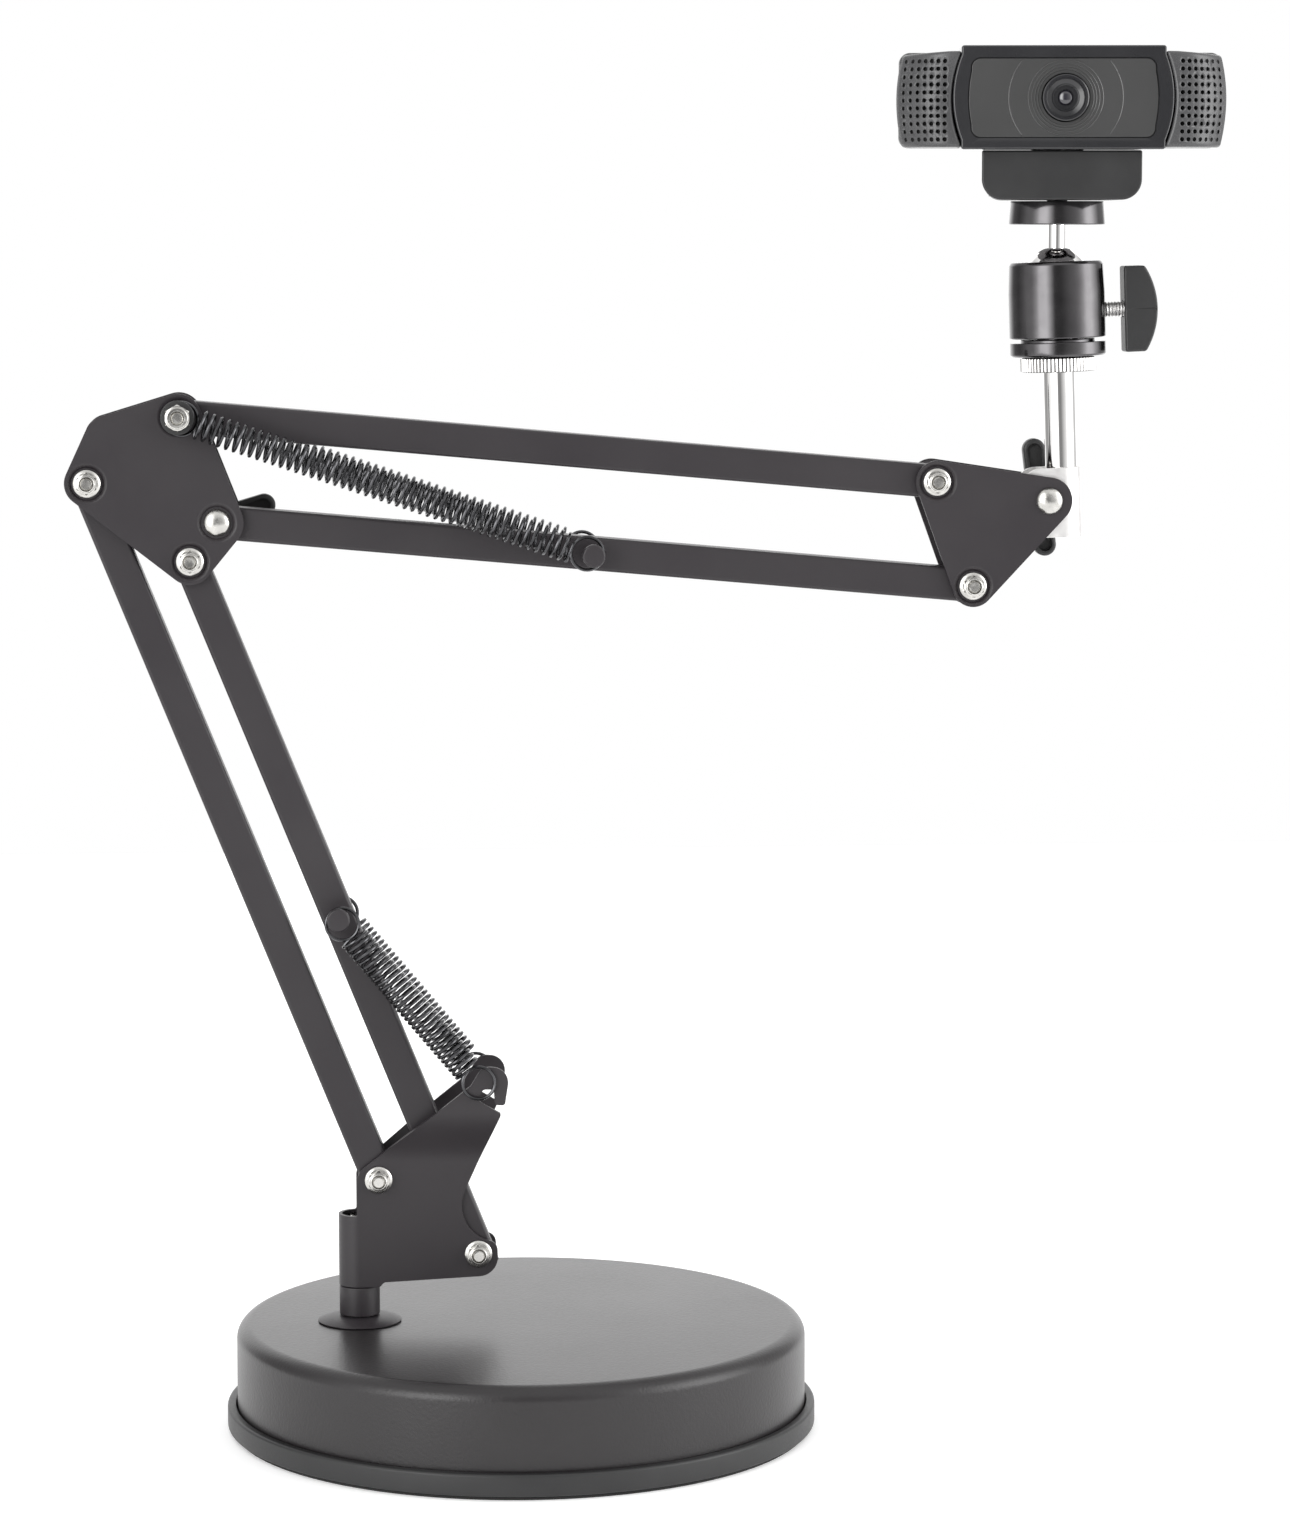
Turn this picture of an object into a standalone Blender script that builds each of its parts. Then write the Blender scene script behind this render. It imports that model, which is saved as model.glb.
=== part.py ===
"""Webcam on a spring-balanced desk arm with a round weighted base.

Every length below is in millimetres and every angle in degrees. The origin is the centre of the base's
underside, +Z is up, +X is the way the arm reaches, and the arm's bars lie in the plane Y = 0.
"""
from math import acos, atan2, cos, degrees, pi, radians, sin

import bmesh
import bpy
from mathutils import Matrix, Vector

MM = 0.001
GAP = 0.3               # clearance kept between neighbouring pieces

# Base
BASE_RADIUS = 83.4
BASE_HEIGHT = 31.3
RIM_RADIUS = 86.3
RIM_HEIGHT = 7.6
POLE_X = -47.4          # swivel axis of the whole arm

# Arm linkage, as pivots in the XZ plane
BAR_PITCH = 218.8       # between the two pivots of each of the four bars
BAR_WIDTH = 9.6
BAR_DEPTH = 9.5
BAR_OVERHANG = 4.3      # bar beyond its pivot
LOWER_LEAN = -21.9      # lower bars from vertical, towards +X
UPPER_DROP = 5.1        # upper bars below horizontal
BASE_OUTER = Vector((-41.8, 74.4))      # lower outer bar on the socket bracket
BASE_INNER = Vector((-12.8, 52.0))      # lower inner bar on the socket bracket
ELBOW_OUTER = BASE_OUTER + BAR_PITCH * Vector((sin(radians(LOWER_LEAN)), cos(radians(LOWER_LEAN))))
ELBOW_INNER = ELBOW_OUTER + BASE_INNER - BASE_OUTER
ELBOW_TOP = ELBOW_OUTER + Vector((26.1, 18.9))
ELBOW_LOCK = ELBOW_OUTER + Vector((36.8, -11.3))
REACH = BAR_PITCH * Vector((cos(radians(UPPER_DROP)), -sin(radians(UPPER_DROP))))
END_TOP = ELBOW_TOP + REACH
END_LOWER = ELBOW_LOCK + REACH
HEAD_HINGE = END_LOWER + Vector((22.0, 24.7))
SPRING_PIN_OFFSET = 107.8               # spring pin along its bar, from the bar's lower or left pivot

# Sheet metal
SHEET = 1.0
PINCHED_Y = 5.5         # middle of a plate's thickness where it meets the bars
PLATE_Y = 6.6           # the same between the pivots
HOOK_Y = 9.9            # the same at the spring hooks
BOLT_HOLE = 2.2

# Springs
COIL_RADIUS = 4.5
WIRE_RADIUS = 0.5
LOOP_RADIUS = 4.7
LOWER_SPRING_Y = 11.2
UPPER_SPRING_Y = 12.0
SPRING_HOOK = Vector((-12.7, 103.6))    # centre of the lower spring's loop at the hook

# Head, measured along the post from the head hinge
HEAD_TILT = -2.0        # the post leans this far towards +X
POST_OFFSET = 4.7       # post axis from the head hinge
POST_RADIUS = 4.6
POST_FOOT = -10.3
LOCK_NUT_SPAN = (37.0, 41.1)
PAN_RING_SPAN = (41.5, 45.5)
HOUSING_SPAN = (46.7, 68.7)
HOUSING_RADIUS = 14.0
BALL_HEIGHT = 63.6
BALL_RADIUS = 9.5
CLAMP_HEIGHT = 54.3

# Camera, in its own frame above the ball: X right, Y back, Z up from the floor
CAMERA_YAW = -5.5
PLATFORM_SPAN = (350.7, 357.4)
CLIP_SPAN = (357.7, 371.5)
BODY_SPAN = (371.9, 401.1)
BODY_HALF = 47.0
WING_X = 31.5           # seam between the middle block and the grille wings
LENS_Z = 386.4
CAMERA_HINGE = (3.4, 370.6)             # Y and Z of the camera's tilt axis
LEG_HINGE = (17.6, 361.4)               # Y and Z of the clip leg's axis


# ---------------------------------------------------------------- scene helpers

for old in list(bpy.data.objects):
    bpy.data.objects.remove(old, do_unlink=True)

model = bpy.data.collections.new("webcam_desk_arm")
guides = bpy.data.collections.new("cutters")
bpy.context.scene.collection.children.link(model)
bpy.context.scene.collection.children.link(guides)


def material(name, colour, roughness, metallic):
    made = bpy.data.materials.new(name)
    made.use_nodes = True
    shader = made.node_tree.nodes["Principled BSDF"]
    shader.inputs["Base Color"].default_value = (*colour, 1.0)
    shader.inputs["Roughness"].default_value = roughness
    shader.inputs["Metallic"].default_value = metallic
    return made


PAINT = material("black_paint", (0.045, 0.043, 0.045), 0.55, 0.0)
BASE_PAINT = material("base_paint", (0.09, 0.085, 0.087), 0.38, 0.0)
PLASTIC = material("black_plastic", (0.035, 0.035, 0.037), 0.5, 0.0)
GLOSS = material("gloss_black", (0.012, 0.012, 0.013), 0.12, 0.0)
ANODISED = material("black_anodised", (0.03, 0.03, 0.032), 0.25, 0.6)
CHROME = material("chrome", (0.78, 0.77, 0.76), 0.15, 1.0)
IRON = material("cast_iron", (0.16, 0.15, 0.14), 0.7, 0.8)
RUBBER = material("rubber", (0.02, 0.02, 0.02), 0.9, 0.0)
SPRING_STEEL = material("black_spring_steel", (0.05, 0.05, 0.052), 0.3, 0.7)


def add(name, mesh, paint=None, at=(0, 0, 0), turn=(0, 0, 0), parent=None):
    """A node of the model, or, with no paint, a helper body in the cutters collection."""
    made = bpy.data.objects.new(name, mesh)
    made.location = Vector(at) * MM
    made.rotation_euler = [radians(angle) for angle in turn]
    made.parent = parent
    if paint:
        model.objects.link(made)
        if not made.data.materials:
            made.data.materials.append(paint)
    else:
        guides.objects.link(made)
        made.hide_render = True
        made.display_type = "WIRE"
    return made


def frame(name, at, turn=(0, 0, 0), parent=None):
    """An empty on a joint's axis, which the pieces of that moving body hang from."""
    made = bpy.data.objects.new(name, None)
    made.location = Vector(at) * MM
    made.rotation_euler = [radians(angle) for angle in turn]
    made.parent = parent
    model.objects.link(made)
    return made


def mesh_from(bm, name, smooth=True):
    mesh = bpy.data.meshes.new(name)
    bm.to_mesh(mesh)
    bm.free()
    if smooth:
        mesh.shade_smooth()
        mesh.set_sharp_from_angle(angle=radians(35))
    return mesh


def block_mesh(size, centre=(0, 0, 0)):
    bm = bmesh.new()
    bmesh.ops.create_cube(bm, size=1.0)
    bmesh.ops.scale(bm, vec=Vector(size) * MM, verts=bm.verts)
    bmesh.ops.translate(bm, vec=Vector(centre) * MM, verts=bm.verts)
    return mesh_from(bm, "block", smooth=False)


def rod_mesh(radius, low, high, sides=20, axis="Z", centre=(0, 0, 0), top_radius=None):
    """A cylinder or cone from low to high along the axis, through the centre."""
    bm = bmesh.new()
    bmesh.ops.create_cone(bm, cap_ends=True, segments=sides, radius1=radius * MM,
                          radius2=(radius if top_radius is None else top_radius) * MM,
                          depth=(high - low) * MM)
    bmesh.ops.translate(bm, vec=(0, 0, (low + high) / 2 * MM), verts=bm.verts)
    turns = {"Z": Matrix(), "Y": Matrix.Rotation(-pi / 2, 3, "X"), "X": Matrix.Rotation(pi / 2, 3, "Y")}
    bmesh.ops.rotate(bm, matrix=turns[axis].to_3x3(), verts=bm.verts)
    bmesh.ops.translate(bm, vec=Vector(centre) * MM, verts=bm.verts)
    return mesh_from(bm, "rod")


def profile_mesh(points, closed):
    """The open or closed line of a turned profile, as (radius, height) down its outer side."""
    bm = bmesh.new()
    verts = [bm.verts.new((radius * MM, 0, height * MM)) for radius, height in points]
    for first, second in zip(verts, verts[1:]):
        bm.edges.new((first, second))
    if closed:
        bm.edges.new((verts[-1], verts[0]))
    return mesh_from(bm, "profile", smooth=False)


def spin(made, steps):
    screw = made.modifiers.new("Turn", "SCREW")
    screw.steps = steps
    screw.render_steps = steps
    screw.use_merge_vertices = True
    screw.merge_threshold = 0.00002
    screw.use_smooth_shade = True
    return made


def turned(name, points, paint, at=(0, 0, 0), turn=(0, 0, 0), parent=None, steps=28):
    closed = points[0][0] > 0 and points[-1][0] > 0
    return spin(add(name, profile_mesh(points, closed), paint, at, turn, parent), steps)


def combine(made, other, operation):
    step = made.modifiers.new(operation.title(), "BOOLEAN")
    step.operation = operation
    step.object = other
    step.solver = "EXACT"
    return made


def cut(made, *tools):
    for tool in tools:
        combine(made, tool, "DIFFERENCE")
    return made


def join(made, *others):
    for other in others:
        combine(made, other, "UNION")
    return made


def bevel(made, width, segments=2, angle=30):
    edge = made.modifiers.new("Bevel", "BEVEL")
    edge.width = width * MM
    edge.segments = segments
    edge.limit_method = "ANGLE"
    edge.angle_limit = radians(angle)
    return made


def baked_mesh(made, name):
    """The mesh an object evaluates to, with the object and its modifiers then removed."""
    bpy.context.view_layer.update()
    graph = bpy.context.evaluated_depsgraph_get()
    mesh = bpy.data.meshes.new_from_object(made.evaluated_get(graph))
    mesh.name = name
    bpy.data.objects.remove(made, do_unlink=True)
    return mesh


def arc(centre, radius, start, end, step=24.0):
    """Points on an arc, from the start angle to the end angle in degrees."""
    count = max(2, round(abs(end - start) / step))
    angles = [radians(start + (end - start) * i / count) for i in range(count + 1)]
    return [Vector((centre[0] + radius * cos(a), centre[1] + radius * sin(a))) for a in angles]


def rounded(corners, step=30.0):
    """A polygon's points, with each (x, y, radius) corner replaced by its fillet arc."""
    points = []
    for i, (x, y, radius) in enumerate(corners):
        here = Vector((x, y))
        back = (Vector(corners[i - 1][:2]) - here).normalized()
        ahead = (Vector(corners[(i + 1) % len(corners)][:2]) - here).normalized()
        half = back.angle(ahead) / 2
        if radius <= 0 or half > radians(89):
            points.append(here)
            continue
        centre = here + (back + ahead).normalized() * radius / sin(half)
        tangent = radius / (sin(half) / cos(half))
        start = here + back * tangent - centre
        end = here + ahead * tangent - centre
        first = degrees(atan2(start.y, start.x))
        sweep = (degrees(atan2(end.y, end.x)) - first + 180) % 360 - 180
        points += arc(centre, radius, first, first + sweep, step)
    return points


def belt(circles, step=30.0):
    """The outline of a belt round circles, given as (x, y, radius) counter-clockwise."""
    normals = []
    for i, (x, y, radius) in enumerate(circles):
        other = circles[(i + 1) % len(circles)]
        along = Vector((other[0] - x, other[1] - y))
        tilt = acos((radius - other[2]) / along.length)
        normals.append(degrees(atan2(along.y, along.x) - tilt))
    points = []
    for i, (x, y, radius) in enumerate(circles):
        sweep = (normals[i] - normals[i - 1]) % 360
        points += arc((x, y), radius, normals[i - 1], normals[i - 1] + sweep, step)
    return points


def outline_solid(points, depth, name):
    """A flat outline in XZ, extruded by the depth along Y and centred on Y = 0, as a closed mesh."""
    curve = bpy.data.curves.new(name, "CURVE")
    curve.dimensions = "2D"
    curve.fill_mode = "BOTH"
    curve.extrude = depth / 2 * MM
    line = curve.splines.new("POLY")
    line.points.add(len(points) - 1)
    for slot, point in zip(line.points, points):
        slot.co = (point[0] * MM, point[1] * MM, 0, 1)
    line.use_cyclic_u = True
    holder = bpy.data.objects.new(name, curve)
    guides.objects.link(holder)
    mesh = baked_mesh(holder, name)
    bm = bmesh.new()
    bm.from_mesh(mesh)
    bmesh.ops.remove_doubles(bm, verts=bm.verts, dist=0.00001)
    bmesh.ops.rotate(bm, matrix=Matrix.Rotation(pi / 2, 3, "X"), verts=bm.verts)
    bmesh.ops.recalc_face_normals(bm, faces=bm.faces)
    bpy.data.meshes.remove(mesh)
    return mesh_from(bm, name, smooth=False)


# ---------------------------------------------------------------- base

def make_base():
    edge = 4.4
    skin = 1.4
    top = BASE_HEIGHT
    corner = [(p.x, p.y) for p in arc((BASE_RADIUS - edge, top - edge), edge, 90, 0, 30)]
    inside = [(p.x, p.y) for p in arc((BASE_RADIUS - edge, top - edge), edge - skin, 0, 90, 45)]
    shell = turned("base_shell", [(0, top)] + corner + [(BASE_RADIUS, 3.0), (BASE_RADIUS - skin, 3.0)]
                   + inside + [(0, top - skin)], BASE_PAINT, steps=44)
    cut(shell, add("pole_hole", rod_mesh(5.0, 20, 40, centre=(POLE_X, 0, 0))))

    weight = turned("base_weight", [(0, 29.5), (78.2, 29.5), (79.6, 28.1), (79.6, 18.0), (0, 18.0)],
                    IRON, steps=24)
    cut(weight, add("weight_hole", rod_mesh(5.0, 10, 40, centre=(POLE_X, 0, 0))))

    lip = BASE_RADIUS + GAP
    turned("base_tray", [(0, 2.7), (lip, 2.7), (lip, RIM_HEIGHT), (RIM_RADIUS - 0.8, RIM_HEIGHT),
                         (RIM_RADIUS, RIM_HEIGHT - 0.8), (RIM_RADIUS, 1.6), (RIM_RADIUS - 0.4, 1.2),
                         (0, 1.2)], PLASTIC, steps=44)
    turned("base_pad", [(0, 0.9), (RIM_RADIUS - 1.5, 0.9), (RIM_RADIUS - 1.5, 0), (0, 0)], RUBBER, steps=36)

    shoulder = 42.2
    turned("pole_pin", [(0, 61.4), (3.5, 61.4), (4.1, 60.8), (4.1, shoulder), (5.5, shoulder), (5.9, 41.8),
                        (5.9, 33.6), (4.7, 33.6), (4.7, 16.5), (4.1, 16.0), (0, 16.0)],
           PAINT, at=(POLE_X, 0, 0), steps=16)
    turned("pole_collar", [(5.0, 33.3), (6.8, 33.2), (9.5, 32.6), (12.2, 32.0), (12.2, 31.6), (5.0, 31.6)],
           PAINT, at=(POLE_X, 0, 0), steps=18)


# ---------------------------------------------------------------- fasteners

def nut_mesh(flange, hexagon, height, bore, name):
    """A lock nut from Y = 0 out to -height: a flange, a hexagon and the round collar at its end."""
    body = add(name, rod_mesh(flange, -0.9, 0, sides=12, axis="Y"))
    sides = add("nut_hexagon", rod_mesh(hexagon, -height + 0.7, -0.4, sides=6, axis="Y"))
    collar = add("nut_collar", rod_mesh(hexagon * 0.8, -height, -0.8, sides=10, axis="Y"))
    hole = add("nut_bore", rod_mesh(bore, -height - 1, 1, sides=10, axis="Y"))
    join(body, sides, collar)
    cut(body, hole)
    mesh = baked_mesh(body, name)
    for tool in (sides, collar, hole):
        bpy.data.objects.remove(tool, do_unlink=True)
    mesh.materials.clear()
    mesh.materials.append(CHROME)
    return mesh


def make_bolts(joints):
    """A bolt and a nut at each pivot: joints holds (label, pivot, seat height of head and nut, frame)."""
    shank = 1.9
    height = 3.6
    small = nut_mesh(4.0, 3.1, height, BOLT_HOLE, "flange_nut")
    large = nut_mesh(3.5, 3.9, height, BOLT_HOLE, "lock_nut")
    for label, pivot, seat, parent in joints:
        origin = (pivot.x - parent["x"], 0, pivot.y - parent["z"])
        far = seat + height + 0.7
        turned("bolt_" + label, [(0, seat + 2.2), (2.2, seat + 2.2), (3.7, seat + 1.5), (4.0, seat + 0.2),
                                 (shank, seat + 0.2), (shank, -far + 0.5), (shank - 0.5, -far), (0, -far)],
               CHROME, at=origin, turn=(-90, 0, 0), parent=parent, steps=10)
        mesh = large if label == "elbow_top" else small
        add("nut_" + label, mesh, CHROME, at=(origin[0], -seat - 0.2, origin[2]), parent=parent)


def make_lock(label, pivot, seat, lean, parent):
    """A round-headed bolt through both plates, and the wing nut behind that clamps them."""
    shank = 1.9
    tip = seat + 11.0
    origin = (pivot.x - parent["x"], 0, pivot.y - parent["z"])
    dome = [(3.9 * sin(radians(a)), -seat - 0.2 - 2.1 * cos(radians(a))) for a in (90, 65, 40, 18)]
    turned(label + "_bolt", [(0, tip), (shank - 0.4, tip), (shank, tip - 0.4), (shank, -seat - 0.2)] + dome
           + [(0, -seat - 2.3)], CHROME, at=origin, turn=(-90, 0, 0), parent=parent, steps=12)

    hub = add(label + "_wing_nut", rod_mesh(4.4, 0, 5.6, sides=20, axis="Y", top_radius=3.7), PLASTIC,
              at=(origin[0], seat + GAP, origin[2]), turn=(0, lean, 0), parent=parent)
    wings = outline_solid(belt([(-14.0, 0, 3.3), (14.0, 0, 3.3)], 30), 4.2, "wings")
    tool = add(label + "_wings", wings, at=(0, 4.6, 0), parent=hub)
    hole = add(label + "_wing_bore", rod_mesh(BOLT_HOLE, -1, 9, sides=16, axis="Y"), parent=hub)
    join(hub, tool)
    cut(hub, hole)


# ---------------------------------------------------------------- bars, pins and springs

def make_bar(name, pivot, direction, holes, parent):
    """A square tube that starts at the pivot and runs along the direction, drilled across at each hole."""
    lean = degrees(atan2(direction.x, direction.y))
    length = BAR_PITCH + 2 * BAR_OVERHANG
    middle = BAR_PITCH / 2
    bar = add(name, block_mesh((BAR_WIDTH, BAR_DEPTH, length), (0, 0, middle)), PAINT,
              turn=(0, lean, 0), parent=parent)
    bevel(bar, 0.7, 1)
    wall = 0.9
    hollow = add(name + "_hollow", block_mesh((BAR_WIDTH - 2 * wall, BAR_DEPTH - 2 * wall, length + 2),
                                              (0, 0, middle)), turn=(0, lean, 0), parent=parent)
    cut(bar, hollow)
    for i, (height, radius) in enumerate(holes):
        drill = rod_mesh(radius, -BAR_DEPTH, BAR_DEPTH, sides=14, axis="Y", centre=(0, 0, height))
        cut(bar, add(f"{name}_hole_{i}", drill, turn=(0, lean, 0), parent=parent))
    return bar


def make_spring_pin(name, at, loop_y, parent):
    """A pin right through a bar, with a neck and a head on each side for the spring's loop."""
    neck = 2.2
    head = loop_y + WIRE_RADIUS + GAP
    side = [(0, head + 2.4), (2.9, head + 2.4), (3.3, head + 2.0), (3.3, head), (neck, head)]
    far = [(radius, -height) for radius, height in reversed(side)]
    turned(name, side + far, PAINT, at=at, turn=(-90, 0, 0), parent=parent, steps=12)


def make_spring(name, start, end, start_pull, end_pull, y, parent):
    """An extension spring's envelope: its coil as a thin tube, with the round loop at each end."""
    along = (end - start).normalized()
    first = start + along * start_pull
    last = end - along * end_pull
    lean = degrees(atan2(along.x, along.y))
    span = (last - first).length
    coil_start = LOOP_RADIUS + WIRE_RADIUS
    coil_end = span - LOOP_RADIUS - WIRE_RADIUS
    origin = (first.x - parent["x"], y, first.y - parent["z"])
    coil = add(name, rod_mesh(COIL_RADIUS, coil_start - 0.9, coil_end + 0.9, sides=10), SPRING_STEEL,
               at=origin, turn=(0, lean, 0), parent=parent)
    for i, height in enumerate((0, span)):
        bm = bmesh.new()
        ring = bmesh.ops.create_circle(bm, segments=5, radius=WIRE_RADIUS * MM)["verts"]
        bmesh.ops.translate(bm, vec=(LOOP_RADIUS * MM, 0, 0), verts=ring)
        bmesh.ops.spin(bm, geom=bm.verts[:] + bm.edges[:], cent=(0, 0, 0), axis=(0, 1, 0), angle=2 * pi,
                       steps=12, use_merge=True, use_normal_flip=False)
        bmesh.ops.remove_doubles(bm, verts=bm.verts, dist=0.00001)
        bmesh.ops.rotate(bm, matrix=Matrix.Rotation(radians(12 * i), 3, "Y"), verts=bm.verts)
        bmesh.ops.translate(bm, vec=(0, 0, height * MM), verts=bm.verts)
        bmesh.ops.recalc_face_normals(bm, faces=bm.faces)
        loop = add(f"{name}_loop_{i}", mesh_from(bm, "loop"), at=origin, turn=(0, lean, 0), parent=parent)
        join(coil, loop)
    hollow = rod_mesh(COIL_RADIUS - 0.4, coil_start + 1.5, coil_end - 1.5, sides=10)
    vent = rod_mesh(0.6, 0, COIL_RADIUS + 1, sides=6, axis="X", centre=(0, 0, span / 2))
    cut(coil, add(name + "_hollow", hollow, at=origin, turn=(0, lean, 0), parent=parent),
        add(name + "_vent", vent, at=origin, turn=(0, lean, 0), parent=parent))


# ---------------------------------------------------------------- sheet metal

def sheet_surface(outline, rings):
    """A flat surface inside an outline, less the outermost ring of each group of round rings.

    Each group holds rings of vertices from the outside in, which are joined by bands of faces, so that
    what is left open is the hole inside the last one.
    """
    bm = bmesh.new()

    def loop(points):
        return [bm.verts.new((point[0], 0, point[1])) for point in points]

    def edges(verts):
        return [bm.edges.new((verts[i - 1], verts[i])) for i in range(len(verts))]

    border = edges(loop(outline))
    bands = []
    for centre, radii in rings:
        circles = [loop(arc(centre, radius, 0, 330, 30)) for radius in radii]
        border += edges(circles[0])
        bands += list(zip(circles, circles[1:]))
    bmesh.ops.triangle_fill(bm, use_beauty=True, edges=border)
    inside = [face for face in bm.faces
              if any((face.calc_center_median().xz - centre).length < radii[0] for centre, radii in rings)]
    bmesh.ops.delete(bm, geom=inside, context="FACES_ONLY")
    for outer, inner in bands:
        for i in range(len(outer)):
            bm.faces.new((outer[i - 1], outer[i], inner[i], inner[i - 1]))
    return bm


def thicken(made):
    shell = made.modifiers.new("Sheet", "SOLIDIFY")
    shell.thickness = SHEET * MM
    shell.offset = 0
    shell.use_even_offset = True
    return made


def make_plate(name, outline, dished, plain, side, parent):
    """A flat plate with round dishes pressed in where the bars touch it. Side is -1 at the front."""
    rings = [(centre, (5.6, 4.5, BOLT_HOLE)) for centre in dished]
    rings += [(centre, (BOLT_HOLE,)) for centre in plain]
    bm = sheet_surface(outline, rings)
    for vert in bm.verts:
        nearest = min([(vert.co.xz - centre).length for centre in dished])
        level = PINCHED_Y if nearest < 4.6 else PLATE_Y
        vert.co = Vector((vert.co.x - parent["x"], side * level, vert.co.z - parent["z"])) * MM
    bmesh.ops.recalc_face_normals(bm, faces=bm.faces)
    thicken(add(name, mesh_from(bm, name), PAINT, parent=parent))


def bracket_outline():
    """The front half of the socket bracket, unrolled: the distance along the sheet from its fold, and Z."""
    turn_length = PINCHED_Y * pi / 2
    low, high = 42.5, 63.5

    def flat(x, z, radius):
        return (x - POLE_X + turn_length, z, radius)

    corners = [
        (0, low, 0), flat(-41.6, low, 1.2), flat(-40.4, 43.9, 1.5),
        flat(-7.0, 45.5, 5.6), flat(-7.2, 55.1, 3.0), flat(-21.7, 59.6, 11.0),
        flat(-6.1, 94.2, 0.8), flat(-13.1, 98.3, 1.4), flat(-11.4, 101.5, 1.3), flat(-8.3, 101.4, 1.2),
        flat(-8.0, 96.9, 0.9), flat(-5.1, 96.7, 0.9), flat(-3.4, 107.6, 4.6), flat(-11.6, 108.2, 3.6),
        flat(-15.0, 102.6, 2.0), flat(-48.1, 76.4, 5.6), flat(-48.1, high, 0.6), (0, high, 0),
    ]
    return rounded(corners)


def bend_bracket(point):
    """Where a point of the unrolled bracket ends up: round the pole, then flat, then out to the hooks."""
    along, z = point.x, point.z
    side = 1 if along < 0 else -1
    reach = abs(along)
    turn_length = PINCHED_Y * pi / 2
    if reach < turn_length:
        angle = reach / PINCHED_Y
        return Vector((-PINCHED_Y * cos(angle), side * PINCHED_Y * sin(angle), z))
    flare = min(max((z - 79.0) / 17.0, 0.0), 1.0)
    flare = flare * flare * (3 - 2 * flare)
    return Vector((reach - turn_length, side * (PINCHED_Y + (HOOK_Y - PINCHED_Y) * flare), z))


def make_socket_bracket(parent):
    front = bracket_outline()
    back = [Vector((-p.x, p.y)) for p in reversed(front[1:-1])]
    turn_length = PINCHED_Y * pi / 2
    pivots = []
    for sign in (1, -1):
        for pivot in (BASE_OUTER, BASE_INNER):
            centre = Vector((sign * (pivot.x - POLE_X + turn_length), pivot.y))
            pivots.append((centre, (BOLT_HOLE,)))
    bm = sheet_surface(front + back, pivots)
    folds = [turn_length * i / 5 for i in range(-5, 6)]
    for fold in folds:
        bmesh.ops.bisect_plane(bm, geom=bm.verts[:] + bm.edges[:] + bm.faces[:], plane_co=(fold, 0, 0),
                               plane_no=(1, 0, 0), dist=0.001)
    for i in range(5):
        bmesh.ops.bisect_plane(bm, geom=bm.verts[:] + bm.edges[:] + bm.faces[:],
                               plane_co=(0, 0, 79.0 + 17.0 * i / 4), plane_no=(0, 0, 1), dist=0.001)
    for vert in bm.verts:
        vert.co = bend_bracket(vert.co) * MM
    bmesh.ops.recalc_face_normals(bm, faces=bm.faces)
    thicken(add("socket_bracket", mesh_from(bm, "socket_bracket"), PAINT, parent=parent))
    turned("socket_bush", [(4.85, 62.6), (4.85, 43.0), (4.4, 43.0), (4.4, 62.6)], CHROME, parent=parent, steps=14)


# ---------------------------------------------------------------- arm

def body_frame(name, pivot):
    made = frame(name, (pivot.x, 0, pivot.y))
    made["x"] = pivot.x
    made["z"] = pivot.y
    return made


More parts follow.
